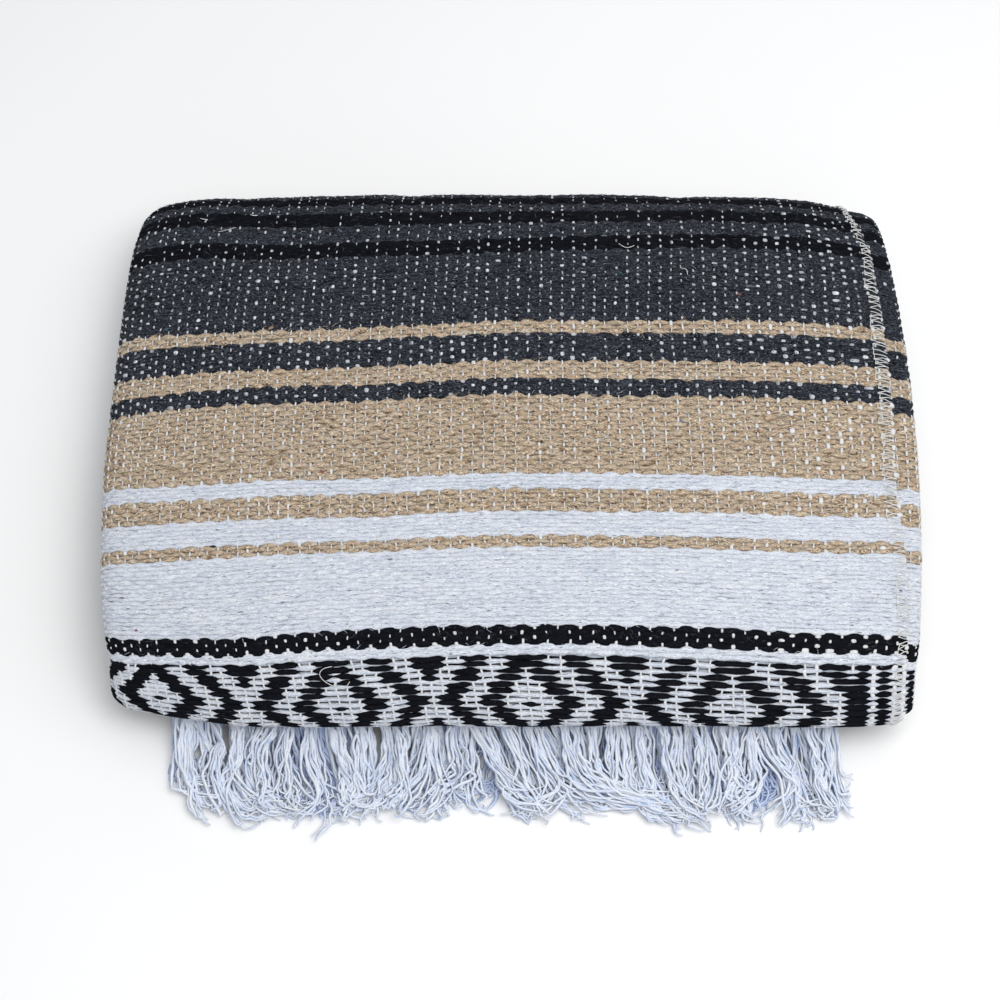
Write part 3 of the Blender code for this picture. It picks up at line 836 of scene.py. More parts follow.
FINE = (0.75, 2.4)            # size of the finest flecks, in marks a millimetre and across
MATERIALS = {
    # (name, shades, flecks, streaks' least and greatest tone, tone of the painted shade at the
    # sides, sheen, bump)
    "tan": yarn_material(
        "tan_yarn",
        [(132, 110, 88), (169, 146, 123), (191, 170, 146), (161, 144, 126), (207, 190, 168)],
        [((232, 218, 194), 0.59, *FINE), ((80, 58, 42), 0.60, *FINE),
         ((158, 150, 118), 0.64), ((184, 150, 134), 0.645), ((186, 182, 174), 0.62)],
        (0.64, 1.32), 0.40, 0.10, 1.0, specular=0.15, drift=0.17),
    "charcoal": yarn_material(
        "charcoal_yarn",
        [(19, 21, 29), (34, 37, 46), (46, 49, 58), (27, 30, 38)],
        [((110, 114, 124), 0.62, *FINE), ((7, 8, 11), 0.58, *FINE),
         ((62, 68, 76), 0.60), ((44, 76, 80), 0.75), ((92, 70, 74), 0.77),
         ((122, 112, 98), 0.73, *FINE)],
        (0.36, 1.70), 0.70, 0.02, 1.0, specular=0.10),
    "black": yarn_material(
        "black_yarn", [(11, 11, 15), (19, 20, 26), (14, 15, 20)],
        [((58, 60, 66), 0.71, *FINE), ((30, 33, 43), 0.66)],
        (0.5, 1.6), 0.80, 0.0, 0.9, specular=0.05),
    "white": yarn_material(
        "white_yarn", [(196, 203, 217), (208, 213, 224), (216, 220, 228)],
        # the two dark bluish flecks are painted shade, the shadows at the floats' ends; the pale
        # fleck is the yarn's own
        [((154, 164, 186), 0.655, 0.35, 2.6), ((232, 235, 240), 0.60, *FINE),
         ((92, 100, 122), 0.645, 0.24, 3.6)],
        (0.79, 1.15), 0.76, 0.08, 0.9, fleck_size=(0.25, 2.2)),
    "warp": yarn_material(
        "warp_thread", [(205, 206, 208), (224, 224, 226), (214, 214, 217)],
        [((184, 182, 180), 0.7)], (0.80, 1.1), 0.7, 0.15, 0.4),
    "warp_dark": yarn_material(
        "warp_thread_dark", [(124, 128, 136), (186, 190, 198), (234, 236, 240)],
        [((84, 88, 96), 0.66)], (0.7, 1.15), 0.6, 0.05, 0.4),
    "fuzz_tan": yarn_material(
        "fuzz_tan", [(176, 152, 122), (206, 188, 160), (228, 216, 196)],
        [((130, 104, 80), 0.66)], (0.85, 1.1), 1.0, 0.1, 0.1),
    "fuzz_dark": yarn_material(
        "fuzz_dark", [(40, 44, 52), (74, 78, 88), (104, 108, 116)],
        [((20, 21, 25), 0.66)], (0.85, 1.1), 1.0, 0.05, 0.1),
    "serging": yarn_material(
        "serging_thread", [(208, 208, 206), (224, 224, 222), (234, 234, 232)],
        [((186, 182, 170), 0.74)], (0.85, 1.1), 0.7, 0.1, 0.3, roughness=0.7),
    "fringe": yarn_material(
        # partly painted shade: the white fringe yarn runs to pale blue, and its fleck bluer still,
        # for the blue shade between strands
        "fringe_yarn", [(210, 221, 243), (227, 234, 247), (240, 242, 248)],
        [((178, 197, 233), 0.63)], (0.84, 1.07), 0.84, 0.16, 0.7, fleck_size=(0.12, 1.4)),
    # the deep row's and the heading's yarn: the fringe's white yarn painted darker and bluer, as
    # painted shade under the rows above
    "fringe_deep_painted_shade": yarn_material(
        "fringe_yarn_painted_shade", [(170, 189, 226), (194, 209, 239), (216, 226, 248)],
        [((128, 148, 192), 0.63)], (0.86, 1.06), 0.86, 0.1, 0.5, fleck_size=(0.10, 1.2)),
}


def backing_material(name, shade_low, shade_high):
    """Painted shade: a near-black ground, coloured as the shadowed cloth between the yarns and
    folds.
    """
    graph = Graph(name)
    place = graph.add("ShaderNodeTexCoord").outputs["Object"]
    patch = graph.noise(place, (300.0, 300.0, 300.0), 3.0, 0.6)
    weave = graph.noise(place, (2600.0, 900.0, 2600.0), 2.0, 0.6)
    both = graph.math("MULTIPLY", patch, weave)
    shade = graph.ramp(graph.span(both, 0.0, 1.0, 0.1, 0.45),
                       [(0.0, shade_low), (1.0, shade_high)])
    graph.coat(shade, 0.95, 0.1)
    graph.bump(both, 0.6, 0.0006)
    return graph.material


def ground_material():
    """The shell under the yarns, in the stripes' own colours darkened as painted shade, which
    shows between the yarns.
    """
    graph = Graph("woven_ground_painted_shade")
    held = graph.add("ShaderNodeAttribute", attribute_name="shaded_colour")
    place = graph.add("ShaderNodeTexCoord").outputs["Object"]
    patch = graph.noise(place, (900.0, 2400.0, 2400.0), 3.0, 0.6)
    tone = graph.span(patch, 0.55, 1.15, 0.3, 0.7)
    graph.coat(graph.toned(held.outputs["Color"], tone), 0.95, 0.1)
    graph.bump(patch, 0.6, 0.0005)
    return graph.material


# ---- the cloth's shells
# Colours of the shell under each yarn, as shares of light: the stripes' colours darkened, as
# painted shade between the yarns
GROUND_SHADED_COLOURS = {"white": (0.46, 0.50, 0.58), "tan": (0.24, 0.18, 0.11),
               "charcoal": (0.020, 0.023, 0.028), "black": (0.010, 0.010, 0.012)}
SHELL_TOP = -0.0014           # lift of the shell's outer face, under the middles of the yarns
SHELL_FOOT = -CLOTH + 0.0001  # and of its inner face


def stripe_at(s):
    """Yarn of the stripe at s; the band counts as white."""
    for yarn, end, _ in STRIPES:
        if s < end:
            return "white" if yarn == "band" else yarn
    return STRIPES[-1][0]


def shell(name, surface, s_values, u_values, material):
    """A closed thin shell of cloth over a grid of places."""
    s, u = np.meshgrid(s_values, u_values, indexing="ij")
    bent = s + bow(s, u) * (s <= FACE_END)
    outer, inner = (surface(bent, u, lift) for lift in (SHELL_TOP, SHELL_FOOT))
    rows, columns = s.shape
    index = np.arange(rows * columns).reshape(rows, columns)
    other = index + rows * columns
    quads = [np.stack([index[:-1, :-1], index[1:, :-1], index[1:, 1:], index[:-1, 1:]], -1),
             np.stack([other[:-1, :-1], other[:-1, 1:], other[1:, 1:], other[1:, :-1]], -1)]
    for a, b in ((index[0], other[0]), (index[-1][::-1], other[-1][::-1]),
                 (index[::-1, 0], other[::-1, 0]), (index[:, -1], other[:, -1])):
        quads.append(np.stack([a[:-1], a[1:], b[1:], b[:-1]], -1))
    faces = np.concatenate([part.reshape(-1, 4) for part in quads])
    points = np.concatenate([outer.reshape(-1, 3), inner.reshape(-1, 3)])
    mesh = quad_mesh(name, points, faces)
    # painted shade: each stripe's colour, darkened, on the shell that shows between the yarns
    tint = mesh.color_attributes.new("shaded_colour", "FLOAT_COLOR", "POINT")
    shades = np.array([(*GROUND_SHADED_COLOURS[stripe_at(value)], 1.0) for value in s_values])
    colours = np.repeat(shades, columns, axis=0)
    tint.data.foreach_set("color", np.concatenate([colours, colours]).astype(np.float32).ravel())
    return link(name, mesh, material)


GROUND = ground_material()
S_GRID = np.concatenate([np.arange(0.0005, FACE_END, 0.0036), np.arange(FACE_END, WHOLE, 0.0075)])
OUTER_U = np.concatenate([np.linspace(-LEFT_TURN - LEFT_ARC, -LEFT_TURN, 8),
                          np.linspace(-LEFT_TURN, 0.190, 36)[1:]])
UNDER_U = np.concatenate([np.linspace(0.151, RIGHT_TURN, 8),
                          np.linspace(RIGHT_TURN, RIGHT_TURN + RIGHT_ARC, 7)[1:]])
outer_shell = shell("outer_cloth_shell", on_outer, S_GRID, OUTER_U, GROUND)
under_shell = shell("under_fold_shell", on_under, S_GRID, UNDER_U, GROUND)
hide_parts("outer_cloth")
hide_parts("under_fold")


def hidden_layers():
    """The hidden layers, eased with the cloth that lies on them."""
    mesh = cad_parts["folded_layers"].data.copy()
    mesh.name = "hidden_layers"
    places = np.empty(len(mesh.vertices) * 3, np.float32)
    mesh.vertices.foreach_get("co", places)
    moved = eased(places.reshape(-1, 3).astype(float))
    mesh.vertices.foreach_set("co", moved.astype(np.float32).ravel())
    mesh.update()
    mesh.materials.clear()
    # painted shade: the hidden layers are coloured near black, in place of their striped cloth in
    # the shadow between the folds
    return link("hidden_layers", mesh, backing_material(
        "inner_ground_painted_shade", (0.012, 0.014, 0.016), (0.050, 0.055, 0.060)))


core_piece = hidden_layers()
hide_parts("folded_layers")

# ---- weft
FACE_WARPS = np.arange(0, LAST_WARP + 0.01, 1 / RINGS_PER_WARP)
BACK_WARPS = np.arange(0, LAST_WARP + 0.01, 1 / BACK_RINGS)
ROLL_LAST_WARP = 7            # the last warp that shows at the rolled end of a pick
ROLL_WARPS = np.arange(0, ROLL_LAST_WARP + 0.01, 1 / BACK_RINGS)
UNDER_FIRST = 70              # the warps on the layer below are the last ones of the cloth
UNDER_LAST_WARP = 5           # the last of them, counted from that one
UNDER_WARPS = np.arange(0, UNDER_LAST_WARP + 0.01, 1 / RINGS_PER_WARP)
UNDER_U_START = 0.1870        # u of the first of them
UNDER_U_END = RIGHT_TURN + RIGHT_ARC * 1.03


def under_u(warp, _):
    """u of the few warps that show on the layer below."""
    return UNDER_U_START + (UNDER_U_END - UNDER_U_START) * warp / UNDER_LAST_WARP


def under_shift(s):
    """How far the stripes of the layer below lie behind those of the outer cloth, along s."""
    return float(np.interp(s, (0.080, 0.125), (-0.0050, -0.0040)))


UNDER_PACK = (FACE_END + 0.004, ENDS["underside"] - 0.003)    # s of the picks under the pack


def on_floor(s):
    """Whether a pick lies under the pack, where only its rolled end shows."""
    return UNDER_PACK[0] < s < UNDER_PACK[1]


def weft():
    """Blocks of picks by yarn, for all layers that show."""
    blocks = {"white": [], "tan": [], "charcoal": [], "black": []}
    for number, (yarn, middle, _, _) in enumerate(PICKS):
        warps = FACE_WARPS if middle < BACK_RINGS_FROM else BACK_WARPS
        warps = ROLL_WARPS if on_floor(middle) else warps
        blocks[yarn].append(lay_pick(on_outer, number, warps, warp_u))
        blocks[yarn].append(lay_pick(on_under, number, UNDER_WARPS, under_u,
                                     under_shift(middle), UNDER_FIRST))
    return blocks


SIDE_PITCH = 0.0024
SIDE_STEPS = 9
SIDE_WARPS = 3.2              # how often a pick there goes over and under, half round the fold
SIDE_TURNS = (0.04, 0.96)     # where it starts and stops, as shares of the half turn
SIDE_DRIFT, SIDE_LIFT = 0.0016, 0.0004      # how far it strays along the fold and in height
SIDE_LEAST = 0.60             # least half width of a pick there, as a share of the pitch
SIDE_REPEAT = 0.440           # length of the stripes that they go through, over again
# How far along the stripes each side fold starts
SIDE_OFFSETS = {(-1, "second"): 0.140, (-1, "third"): 0.260, (1, "second"): 0.245,
                (1, "third"): 0.075}


def side_weft(blocks):
    """Picks that turn round the side folds of the hidden layers."""
    turns = np.linspace(*SIDE_TURNS, SIDE_STEPS) * math.pi
    for (side, fold), offset in SIDE_OFFSETS.items():
        count = int(CORE_S[-1] * (SIDE_FOLDS[fold][0] + 0.25) / SIDE_PITCH)
        pitch = CORE_S[-1] / count
        for number in range(count):
            middle = (number + 0.5) * pitch
            yarn = stripe_at((middle + offset) % SIDE_REPEAT)
            over_share, under_share, height, sink, _ = YARN_FORMS[yarn]
            under_share = max(under_share, SIDE_LEAST)
            over = (1 + np.cos(np.pi * (turns / math.pi * SIDE_WARPS + number))) / 2
            slub = 1 + 0.15 * noise(turns * 2.1, number * 1.3, 31 + side)
            half = pitch * (under_share + (over_share - under_share) * over) * slub
            drift = SIDE_DRIFT * noise(middle / 0.06, turns / 2.0, 33 + side)
            s = middle + drift[:, None] + half[:, None] * np.sin(SECTION)
            lift = (-0.5 * sink * (1 - over))[:, None] + height * (np.cos(SECTION) - 0.35)
            lift = lift + SIDE_LIFT * noise(middle / 0.03, 0.0, 35)
            points = on_side(side, fold, s, np.broadcast_to(turns[:, None], s.shape), lift)
            blocks[yarn].append(threaded(points[None], turns[:, None] * 5.0 + number,
                                         np.sin(SECTION) * 1.3, number * 1.37 + offset * 100))


def merged(blocks):
    """Blocks with the same shape joined into one."""
    shapes = {}
    for points, thread in blocks:
        shapes.setdefault(points.shape[1:], []).append((points, thread))
    return [(np.concatenate([p for p, _ in group]), np.concatenate([t for _, t in group]))
            for group in shapes.values()]


WEFT = weft()
side_weft(WEFT)
weft_pieces = [strips("weft_" + yarn, merged(rows), MATERIALS[yarn])
               for yarn, rows in WEFT.items()]

# ---- warp
DASH_PLACES = np.array((-1.0, -0.40, 0.40, 1.0))
DASH_SECTION = np.radians((-95.0, -32.0, 32.0, 95.0))
# How the warp shows over each yarn, its length as a share of the pick's pitch
WARP_FORMS = {
    # over yarn:    (half width, height, half length, hidden share)
    "white":        (0.00044, -0.00035, 0.46, 0.80),
    "tan":          (0.00048, 0.00012, 0.68, 0.14),
    "charcoal":     (0.00064, 0.00012, 0.46, 0.15),
    "black":        (0.00058, 0.00005, 0.46, 0.24),
    "band black":   (0.00062, 0.00012, 0.98, 0.0),
}
DASH_FOOT, DASH_ARCH = -0.00105, 0.00080    # lift of a dash's two ends, and its rise over them
DASH_THICKNESS = 0.00042      # from its middle to its top
DASH_SPREAD, DASH_SHRINK, DASH_BLOB = 0.95, 0.38, 0.70     # unevenness of their sizes
BAND_MIXED = 0.45             # share of that on the band, where they are more even
DASH_STRAY = 0.44             # how far they stray along s, as a share of the pitch
FAR_FROM = 0.300              # s beyond which the dashes are smaller and fewer
FAR_HIDDEN, FAR_SHRINK = 0.34, 0.22
FRONT_HIDDEN = 0.10           # hidden share on the black stripe above the band
BOLD_SPAN, BOLD_SIZE = (0.212, 0.256), 1.15     # s between which they are bolder on charcoal
EDGE_SIZE, EDGE_LENGTH = 1.5, 1.35              # on the first pick of the stripe above the band
SELVEDGE_SIZE = 1.7           # on the band's picks at the selvedge
DULL_FROM = 0.100             # s beyond which the dashes on charcoal and black are duller
UNDER_HIDDEN = np.array((0.85, 0.85, 0.85, 0.85, 0.25, 2.0))   # on the layer below, by warp
RIGHT_SPAN = (58, 70)         # warps over which the dashes grow towards the right


def far_share(s):
    """How much of the change in the dashes towards the back there is at s."""
    return float(smooth_share(s, FAR_FROM, FAR_FROM + 0.040))


def dashes():
    """Where a warp crosses over a pick: short arched lengths of thread, over each yarn."""
    rows = {"pale": [], "dark": []}
    for number, (yarn, middle, _, row) in enumerate(PICKS):
        if yarn == "white" and row is not None:
            continue
        form = yarn if row is None else "band " + yarn
        kind = "dark" if form in ("charcoal", "black") and middle > DULL_FROM else "pale"
        warps = np.arange(0, (ROLL_LAST_WARP if on_floor(middle) else LAST_WARP) + 1)
        under = pick_over(number)[:len(warps)] < 0.5
        hidden = WARP_FORMS[form][-1] + FAR_HIDDEN * far_share(middle)
        if on_edge(number):
            hidden = 0.0
        elif yarn == "black" and kind == "pale":
            hidden = FRONT_HIDDEN
        shown = warps[under & (hashed(warps, number, 41) >= hidden)]
        rows[kind].append(dash_block(on_outer, number, shown, warp_u, form, 0.0))
        warps = np.arange(0, UNDER_LAST_WARP + 1)
        under = pick_over(number)[UNDER_FIRST:UNDER_FIRST + len(warps)] < 0.5
        if kind == "dark":
            under = under & (hashed(warps, number, 49) >= UNDER_HIDDEN)
        rows[kind].append(dash_block(on_under, number, warps[under], under_u, form,
                                     under_shift(middle)))
    return rows


def dash_block(surface, number, warps, u_of, form, shift):
    """The dashes of one pick, uneven in size, length and place."""
    _, middle, pitch, row = PICKS[number]
    half_width, height, half_length, _ = WARP_FORMS[form]
    mixed = 1.0 if row is None else BAND_MIXED

    def chance(seed):
        return hashed(warps, number, seed)

    right = smooth_share(warps, *RIGHT_SPAN) * (surface is on_outer)
    blob = (chance(48) > 0.92 - 0.12 * right) * mixed
    size = 1.0 + mixed * (DASH_SPREAD * chance(42) ** 2.2 - DASH_SHRINK) + DASH_BLOB * blob
    size = size * (1 + (0.50 if row is None else 0.15) * right)
    size = size * (1 - FAR_SHRINK * far_share(middle))
    if row is not None:
        size = size * np.where(warps > PLAIN_FROM, SELVEDGE_SIZE, 1.0)
    elif form == "charcoal" and BOLD_SPAN[0] < middle < BOLD_SPAN[1]:
        size = size * BOLD_SIZE
    long = pitch * half_length * (1 + mixed * 0.7 * (chance(43) - 0.5))
    if on_edge(number):
        size = size * EDGE_SIZE
        long = long * EDGE_LENGTH
    u0 = u_of(warps.astype(float), middle) + 0.0006 * (chance(45) - 0.5)
    s0 = middle + shift + bow(middle, u0)
    s0 = s0 + pitch * DASH_STRAY * mixed * (chance(46) - 0.5)
    s = (s0[:, None] + long[:, None] * DASH_PLACES)[:, :, None]
    lean = (0.0004 if row is None else 0.0012) * (chance(44) - 0.5)
    arch = 1 - DASH_PLACES ** 2
    wide = half_width * size[:, None] * (0.50 + 0.55 * arch)
    u = (u0[:, None] + lean[:, None] * DASH_PLACES)[:, :, None]
    u = u + wide[:, :, None] * np.sin(DASH_SECTION)
    high = height + DASH_ARCH + 0.0004 * (chance(47) - 0.5)
    rise = DASH_FOOT + high[:, None] * arch
    lift = rise[:, :, None] + DASH_THICKNESS * np.cos(DASH_SECTION)
    points = surface(np.broadcast_to(s, u.shape), u, lift)
    return threaded(points, s * 1000, np.sin(DASH_SECTION),
                    (warps * 3.7 + number * 0.9)[:, None, None])


DASHES = dashes()
warp_piece = strips("warp_dashes", merged(DASHES["pale"]), MATERIALS["warp"],
                    columns=24)
warp_dark_piece = strips("warp_dashes_dark", merged(DASHES["dark"]), MATERIALS["warp_dark"],
                         columns=24)

# ---- loose fibres
FUZZ = [
    # (yarns,                  count, length range,      width,   material)
    (("tan",),                 2200, (0.0014, 0.0050), 0.00016, "fuzz_tan"),
    (("charcoal", "black"),    2200, (0.0014, 0.0050), 0.00015, "fuzz_dark"),
    (("charcoal",),             160, (0.0014, 0.0046), 0.00017, "warp_dark"),
    (("white",),                600, (0.0020, 0.0060), 0.00012, "fringe"),
]
FUZZ_STEPS = 5
FUZZ_REACH = (0.068, 0.425)   # s between which fibres stand out of the cloth
FUZZ_LEFT, FUZZ_RIGHT = -0.205, 0.197       # and u
FUZZ_LEAN, FUZZ_CURL = 2.2, 3.4             # how far they lean from the picks and bend, in radians
FUZZ_STEEP = 1.2                            # a further lean of one in five


def fuzz(number):
    """Fine fibres standing out of the yarns of one kind."""
    yarns, count, (short, long), width, material = FUZZ[number]
    bands, start = [], 0.0
    for yarn, end, _ in STRIPES:
        low, high = max(start, FUZZ_REACH[0]), min(end, FUZZ_REACH[1])
        if high > low and ("white" if yarn == "band" else yarn) in yarns:
            bands.append((low, high))
        start = end
    sizes = np.cumsum([0.0] + [high - low for low, high in bands])
    index = np.arange(count)

    def chance(seed):
        return hashed(index, number + 71, seed)

    along = chance(1) * sizes[-1]
    held = np.clip(np.searchsorted(sizes, along) - 1, 0, len(bands) - 1)
    s0 = np.array([low for low, _ in bands])[held] + along - sizes[held]
    u0 = FUZZ_LEFT + (FUZZ_RIGHT - FUZZ_LEFT) * chance(2)
    s0 = s0 + bow(s0, u0)
    length = short + (long - short) * chance(3) ** 1.6
    heading = (chance(4) - 0.5) * FUZZ_LEAN + np.where(chance(5) > 0.8, FUZZ_STEEP, 0.0)
    curl = (chance(6) - 0.5) * FUZZ_CURL
    t = np.linspace(0, 1, FUZZ_STEPS)
    angle = heading[:, None] + curl[:, None] * (t - 0.5)
    step = length[:, None] / (FUZZ_STEPS - 1)
    u = u0[:, None] + np.cumsum(step * np.cos(angle), axis=1)
    s = s0[:, None] + np.cumsum(step * np.sin(angle), axis=1)
    u = np.minimum(u, free_edge(s) - 0.0005)
    lift = -0.0004 + (0.0004 + 0.0008 * chance(7)[:, None]) * np.sin(np.pi * (0.1 + 0.8 * t))
    half = width / 2 * (1 - 0.5 * np.abs(2 * t - 1))
    sides = np.array((-1.0, 1.0))
    pu = u[:, :, None] - half[None, :, None] * np.sin(angle)[:, :, None] * sides
    ps = s[:, :, None] + half[None, :, None] * np.cos(angle)[:, :, None] * sides
    block = threaded(on_outer(ps, pu, lift[:, :, None]), (t * 3.0)[None, :, None], 0.0,
                     index[:, None, None] * 1.71)
    return strips("fibres_%d" % number, [block], MATERIALS[material], columns=20)


fuzz_pieces = [fuzz(number) for number in range(len(FUZZ))]

# ---- serged edge
# How far the serging reaches in from the edge, at some s
SERGE_DEPTH_S = (0.000, 0.078, 0.130, 0.157, 0.250, 0.276, 0.291, 0.314, 0.337, 0.450)
SERGE_DEPTH = (0.0050, 0.0052, 0.0062, 0.0070, 0.0068, 0.0064, 0.0054, 0.0046, 0.0036, 0.0032)
SERGE_PITCH = 0.0031
SERGE_RADIUS = 0.00022
SERGE_START = 0.012
SERGE_STEPS = 13
TUBE_SECTION = np.radians((0.0, 72.0, 144.0, 216.0, 288.0))
SOFT_SECTION = np.radians((0.0, 90.0, 180.0, 270.0))


def tubes(routes, radius, seeds, section=TUBE_SECTION):
    """Thin tubes along routes of places (routes x points x 3), as one block."""
    routes = np.asarray(routes)
    ahead = np.gradient(routes, axis=1)
    ahead /= np.maximum(np.linalg.norm(ahead, axis=2, keepdims=True), 1e-9)
    up = np.broadcast_to(np.array((0.13, 0.21, 0.97)), ahead.shape)
    side = np.cross(ahead, up)
    side /= np.maximum(np.linalg.norm(side, axis=2, keepdims=True), 1e-9)
    top = np.cross(side, ahead)
    radius = np.broadcast_to(np.asarray(radius), routes.shape[:2])[:, :, None, None]
    ring = (side[:, :, None, :] * np.cos(section)[:, None]
            + top[:, :, None, :] * np.sin(section)[:, None])
    steps = np.linalg.norm(np.diff(routes, axis=1), axis=2)
    along = np.concatenate([np.zeros((len(routes), 1)), np.cumsum(steps, axis=1)], axis=1)
    return threaded(routes[:, :, None, :] + radius * ring, along[:, :, None] * 1000,
                    np.cos(section) * 0.9, np.asarray(seeds, float)[:, None, None] * 1.93)


def serging():
    """The needle thread and the loops over the free edge."""
    routes, seeds = [], []

    def lay(marks, seed):
        routes.append(rounded(marks, SERGE_STEPS))
        seeds.append(seed)

    for number, s in enumerate(np.arange(SERGE_START, FACE_END, SERGE_PITCH)):
        chance = hashed(np.arange(8), number, 51)
        s = s + SERGE_PITCH * 0.4 * (chance[5] - 0.5)
        edge = float(free_edge(s))
        depth = float(np.interp(s, SERGE_DEPTH_S, SERGE_DEPTH))
        inner = edge - depth * (0.86 + 0.24 * chance[0])
        lean = SERGE_PITCH * (0.22 + 0.50 * chance[1])
        # out over the edge on the slant, and under it
        lay([(s, inner, 0.00030),
             (s - lean * 0.40, inner + depth * 0.38, 0.00062),
             (s - lean * 0.80, edge - depth * 0.30, 0.00052),
             (s - lean, edge - 0.0002, -0.00030),
             (s - lean * 0.8, edge + 0.0004, -0.00150),
             (s - lean * 0.4, edge - 0.0003, -0.00190)], number)
        # and back, beside it
        lean = SERGE_PITCH * (0.18 + 0.44 * chance[2])
        beside = s + SERGE_PITCH * 0.08
        if chance[4] > 0.22:
            lay([(beside, inner + 0.0004 * chance[6], 0.00030),
                 (beside + lean * 0.45, inner + depth * 0.42, 0.00056),
                 (beside + lean * 0.85, edge - depth * 0.28, 0.00044),
                 (beside + lean, edge + 0.0001, -0.00060),
                 (beside + lean, edge + 0.0002, -0.00150)], number + 0.5)
        # the needle thread, where it shows
        if chance[7] > 0.55:
            lay([(s + SERGE_PITCH * share, inner + 0.0003 * (share > 0.4), 0.00026)
                 for share in (-0.1, 0.2, 0.5, 0.8, 1.0)], number + 0.25)
    return tubes(routes, SERGE_RADIUS, seeds)


def rounded(places, count):
    """Places of a smooth line through (s, u, lift) marks on the outer cloth."""
    return on_outer(*smooth_line(np.array(places), count).T)


serging_piece = strips("edge_serging", [serging()], MATERIALS["serging"],
                       closed=True, columns=6)

# ---- stray ends and neps
# Loose ends of thread lying on the cloth: radius, then (s, u) in millimetres along each
STRAYS = [
    (0.00021, ((334.2, -172.4), (332.6, -170.4), (332.7, -168.0))),
    (0.00015, ((322.8, -160.2), (323.4, -155.8), (325.6, -151.0))),
    (0.00024, ((336.4, -144.6), (334.9, -142.6), (335.9, -140.4))),
    (0.00018, ((53.5, -81.8), (50.3, -84.4), (50.9, -88.5), (53.6, -94.1), (57.3, -97.1),
               (60.4, -95.5), (61.4, -90.8))),
    (0.00018, ((295.9, 93.1), (294.5, 95.6), (291.6, 96.0))),
    (0.00018, ((312.0, 60.0), (309.0, 64.0), (311.0, 68.5))),
    (0.00016, ((189.0, 40.0), (186.0, 44.0), (187.5, 49.0), (191.0, 51.0))),
]
# Odd neps spun into the yarn: (s, u, half length, radius) in millimetres and colour
NEPS = [
    (260.1, -182.2, 1.3, 0.75, "teal"), (279.5, 122.5, 1.4, 0.70, "red"),
    (76.5, -190.7, 1.0, 0.60, "red"), (168.6, -94.6, 1.2, 0.70, "red"),
    (257.1, -125.0, 1.5, 0.80, "tan"), (205.9, -134.3, 1.6, 0.70, "tan"),
    (95.5, -196.9, 1.5, 0.60, "grey"), (126.8, -149.9, 2.0, 0.62, "dark"),
    (102.9, 196.8, 1.1, 0.50, "dark"), (284.0, -30.0, 1.0, 0.50, "grey"),
    (292.0, 60.0, 1.1, 0.60, "teal"), (112.0, 84.0, 1.4, 0.50, "grey"),
    (118.0, -60.0, 1.5, 0.48, "grey"), (198.0, 88.0, 1.5, 0.80, "grey"),
]
STRAY_STEPS = 17
NEP_SHADES = {"teal": (52, 92, 96), "red": (140, 84, 80), "tan": (158, 132, 104),
              "grey": (128, 130, 138), "dark": (52, 50, 54)}


def strays():
    """The stray ends, each with its two ends sunk into the cloth."""
    routes = [rounded([(s * MM, u * MM, 0.0004 if 0 < place < len(marks) - 1 else -0.0003)
                       for place, (s, u) in enumerate(marks)], STRAY_STEPS)
              for _, marks in STRAYS]
    sizes = [[radius] * STRAY_STEPS for radius, _ in STRAYS]
    return tubes(routes, sizes, np.arange(len(routes)))


def neps(shade):
    """The neps of one colour: short spindles along the picks."""
    routes, sizes = [], []
    t = np.linspace(-1, 1, 7)
    for s, u, half_length, radius, name in NEPS:
        if name == shade:
            line_u = (u + half_length * t) * MM
            line_s = s * MM + 0.0003 * np.sin(t * 2.0 + s)
            routes.append(on_outer(line_s, line_u, -0.00030 - 0.0003 * t ** 2))
            sizes.append(radius * MM * np.sqrt(1 - 0.92 * t ** 2))
    return tubes(routes, sizes, np.arange(len(routes)) * 2.3)


stray_pieces = [strips("stray_ends", [strays()], MATERIALS["serging"],
                       closed=True)]
for shade, colour in NEP_SHADES.items():
    spun = yarn_material("nep_" + shade, [colour, colour], [], (0.6, 1.35), 0.8, 0.05, 0.8)
    stray_pieces.append(strips("neps_" + shade, [neps(shade)], spun, closed=True))

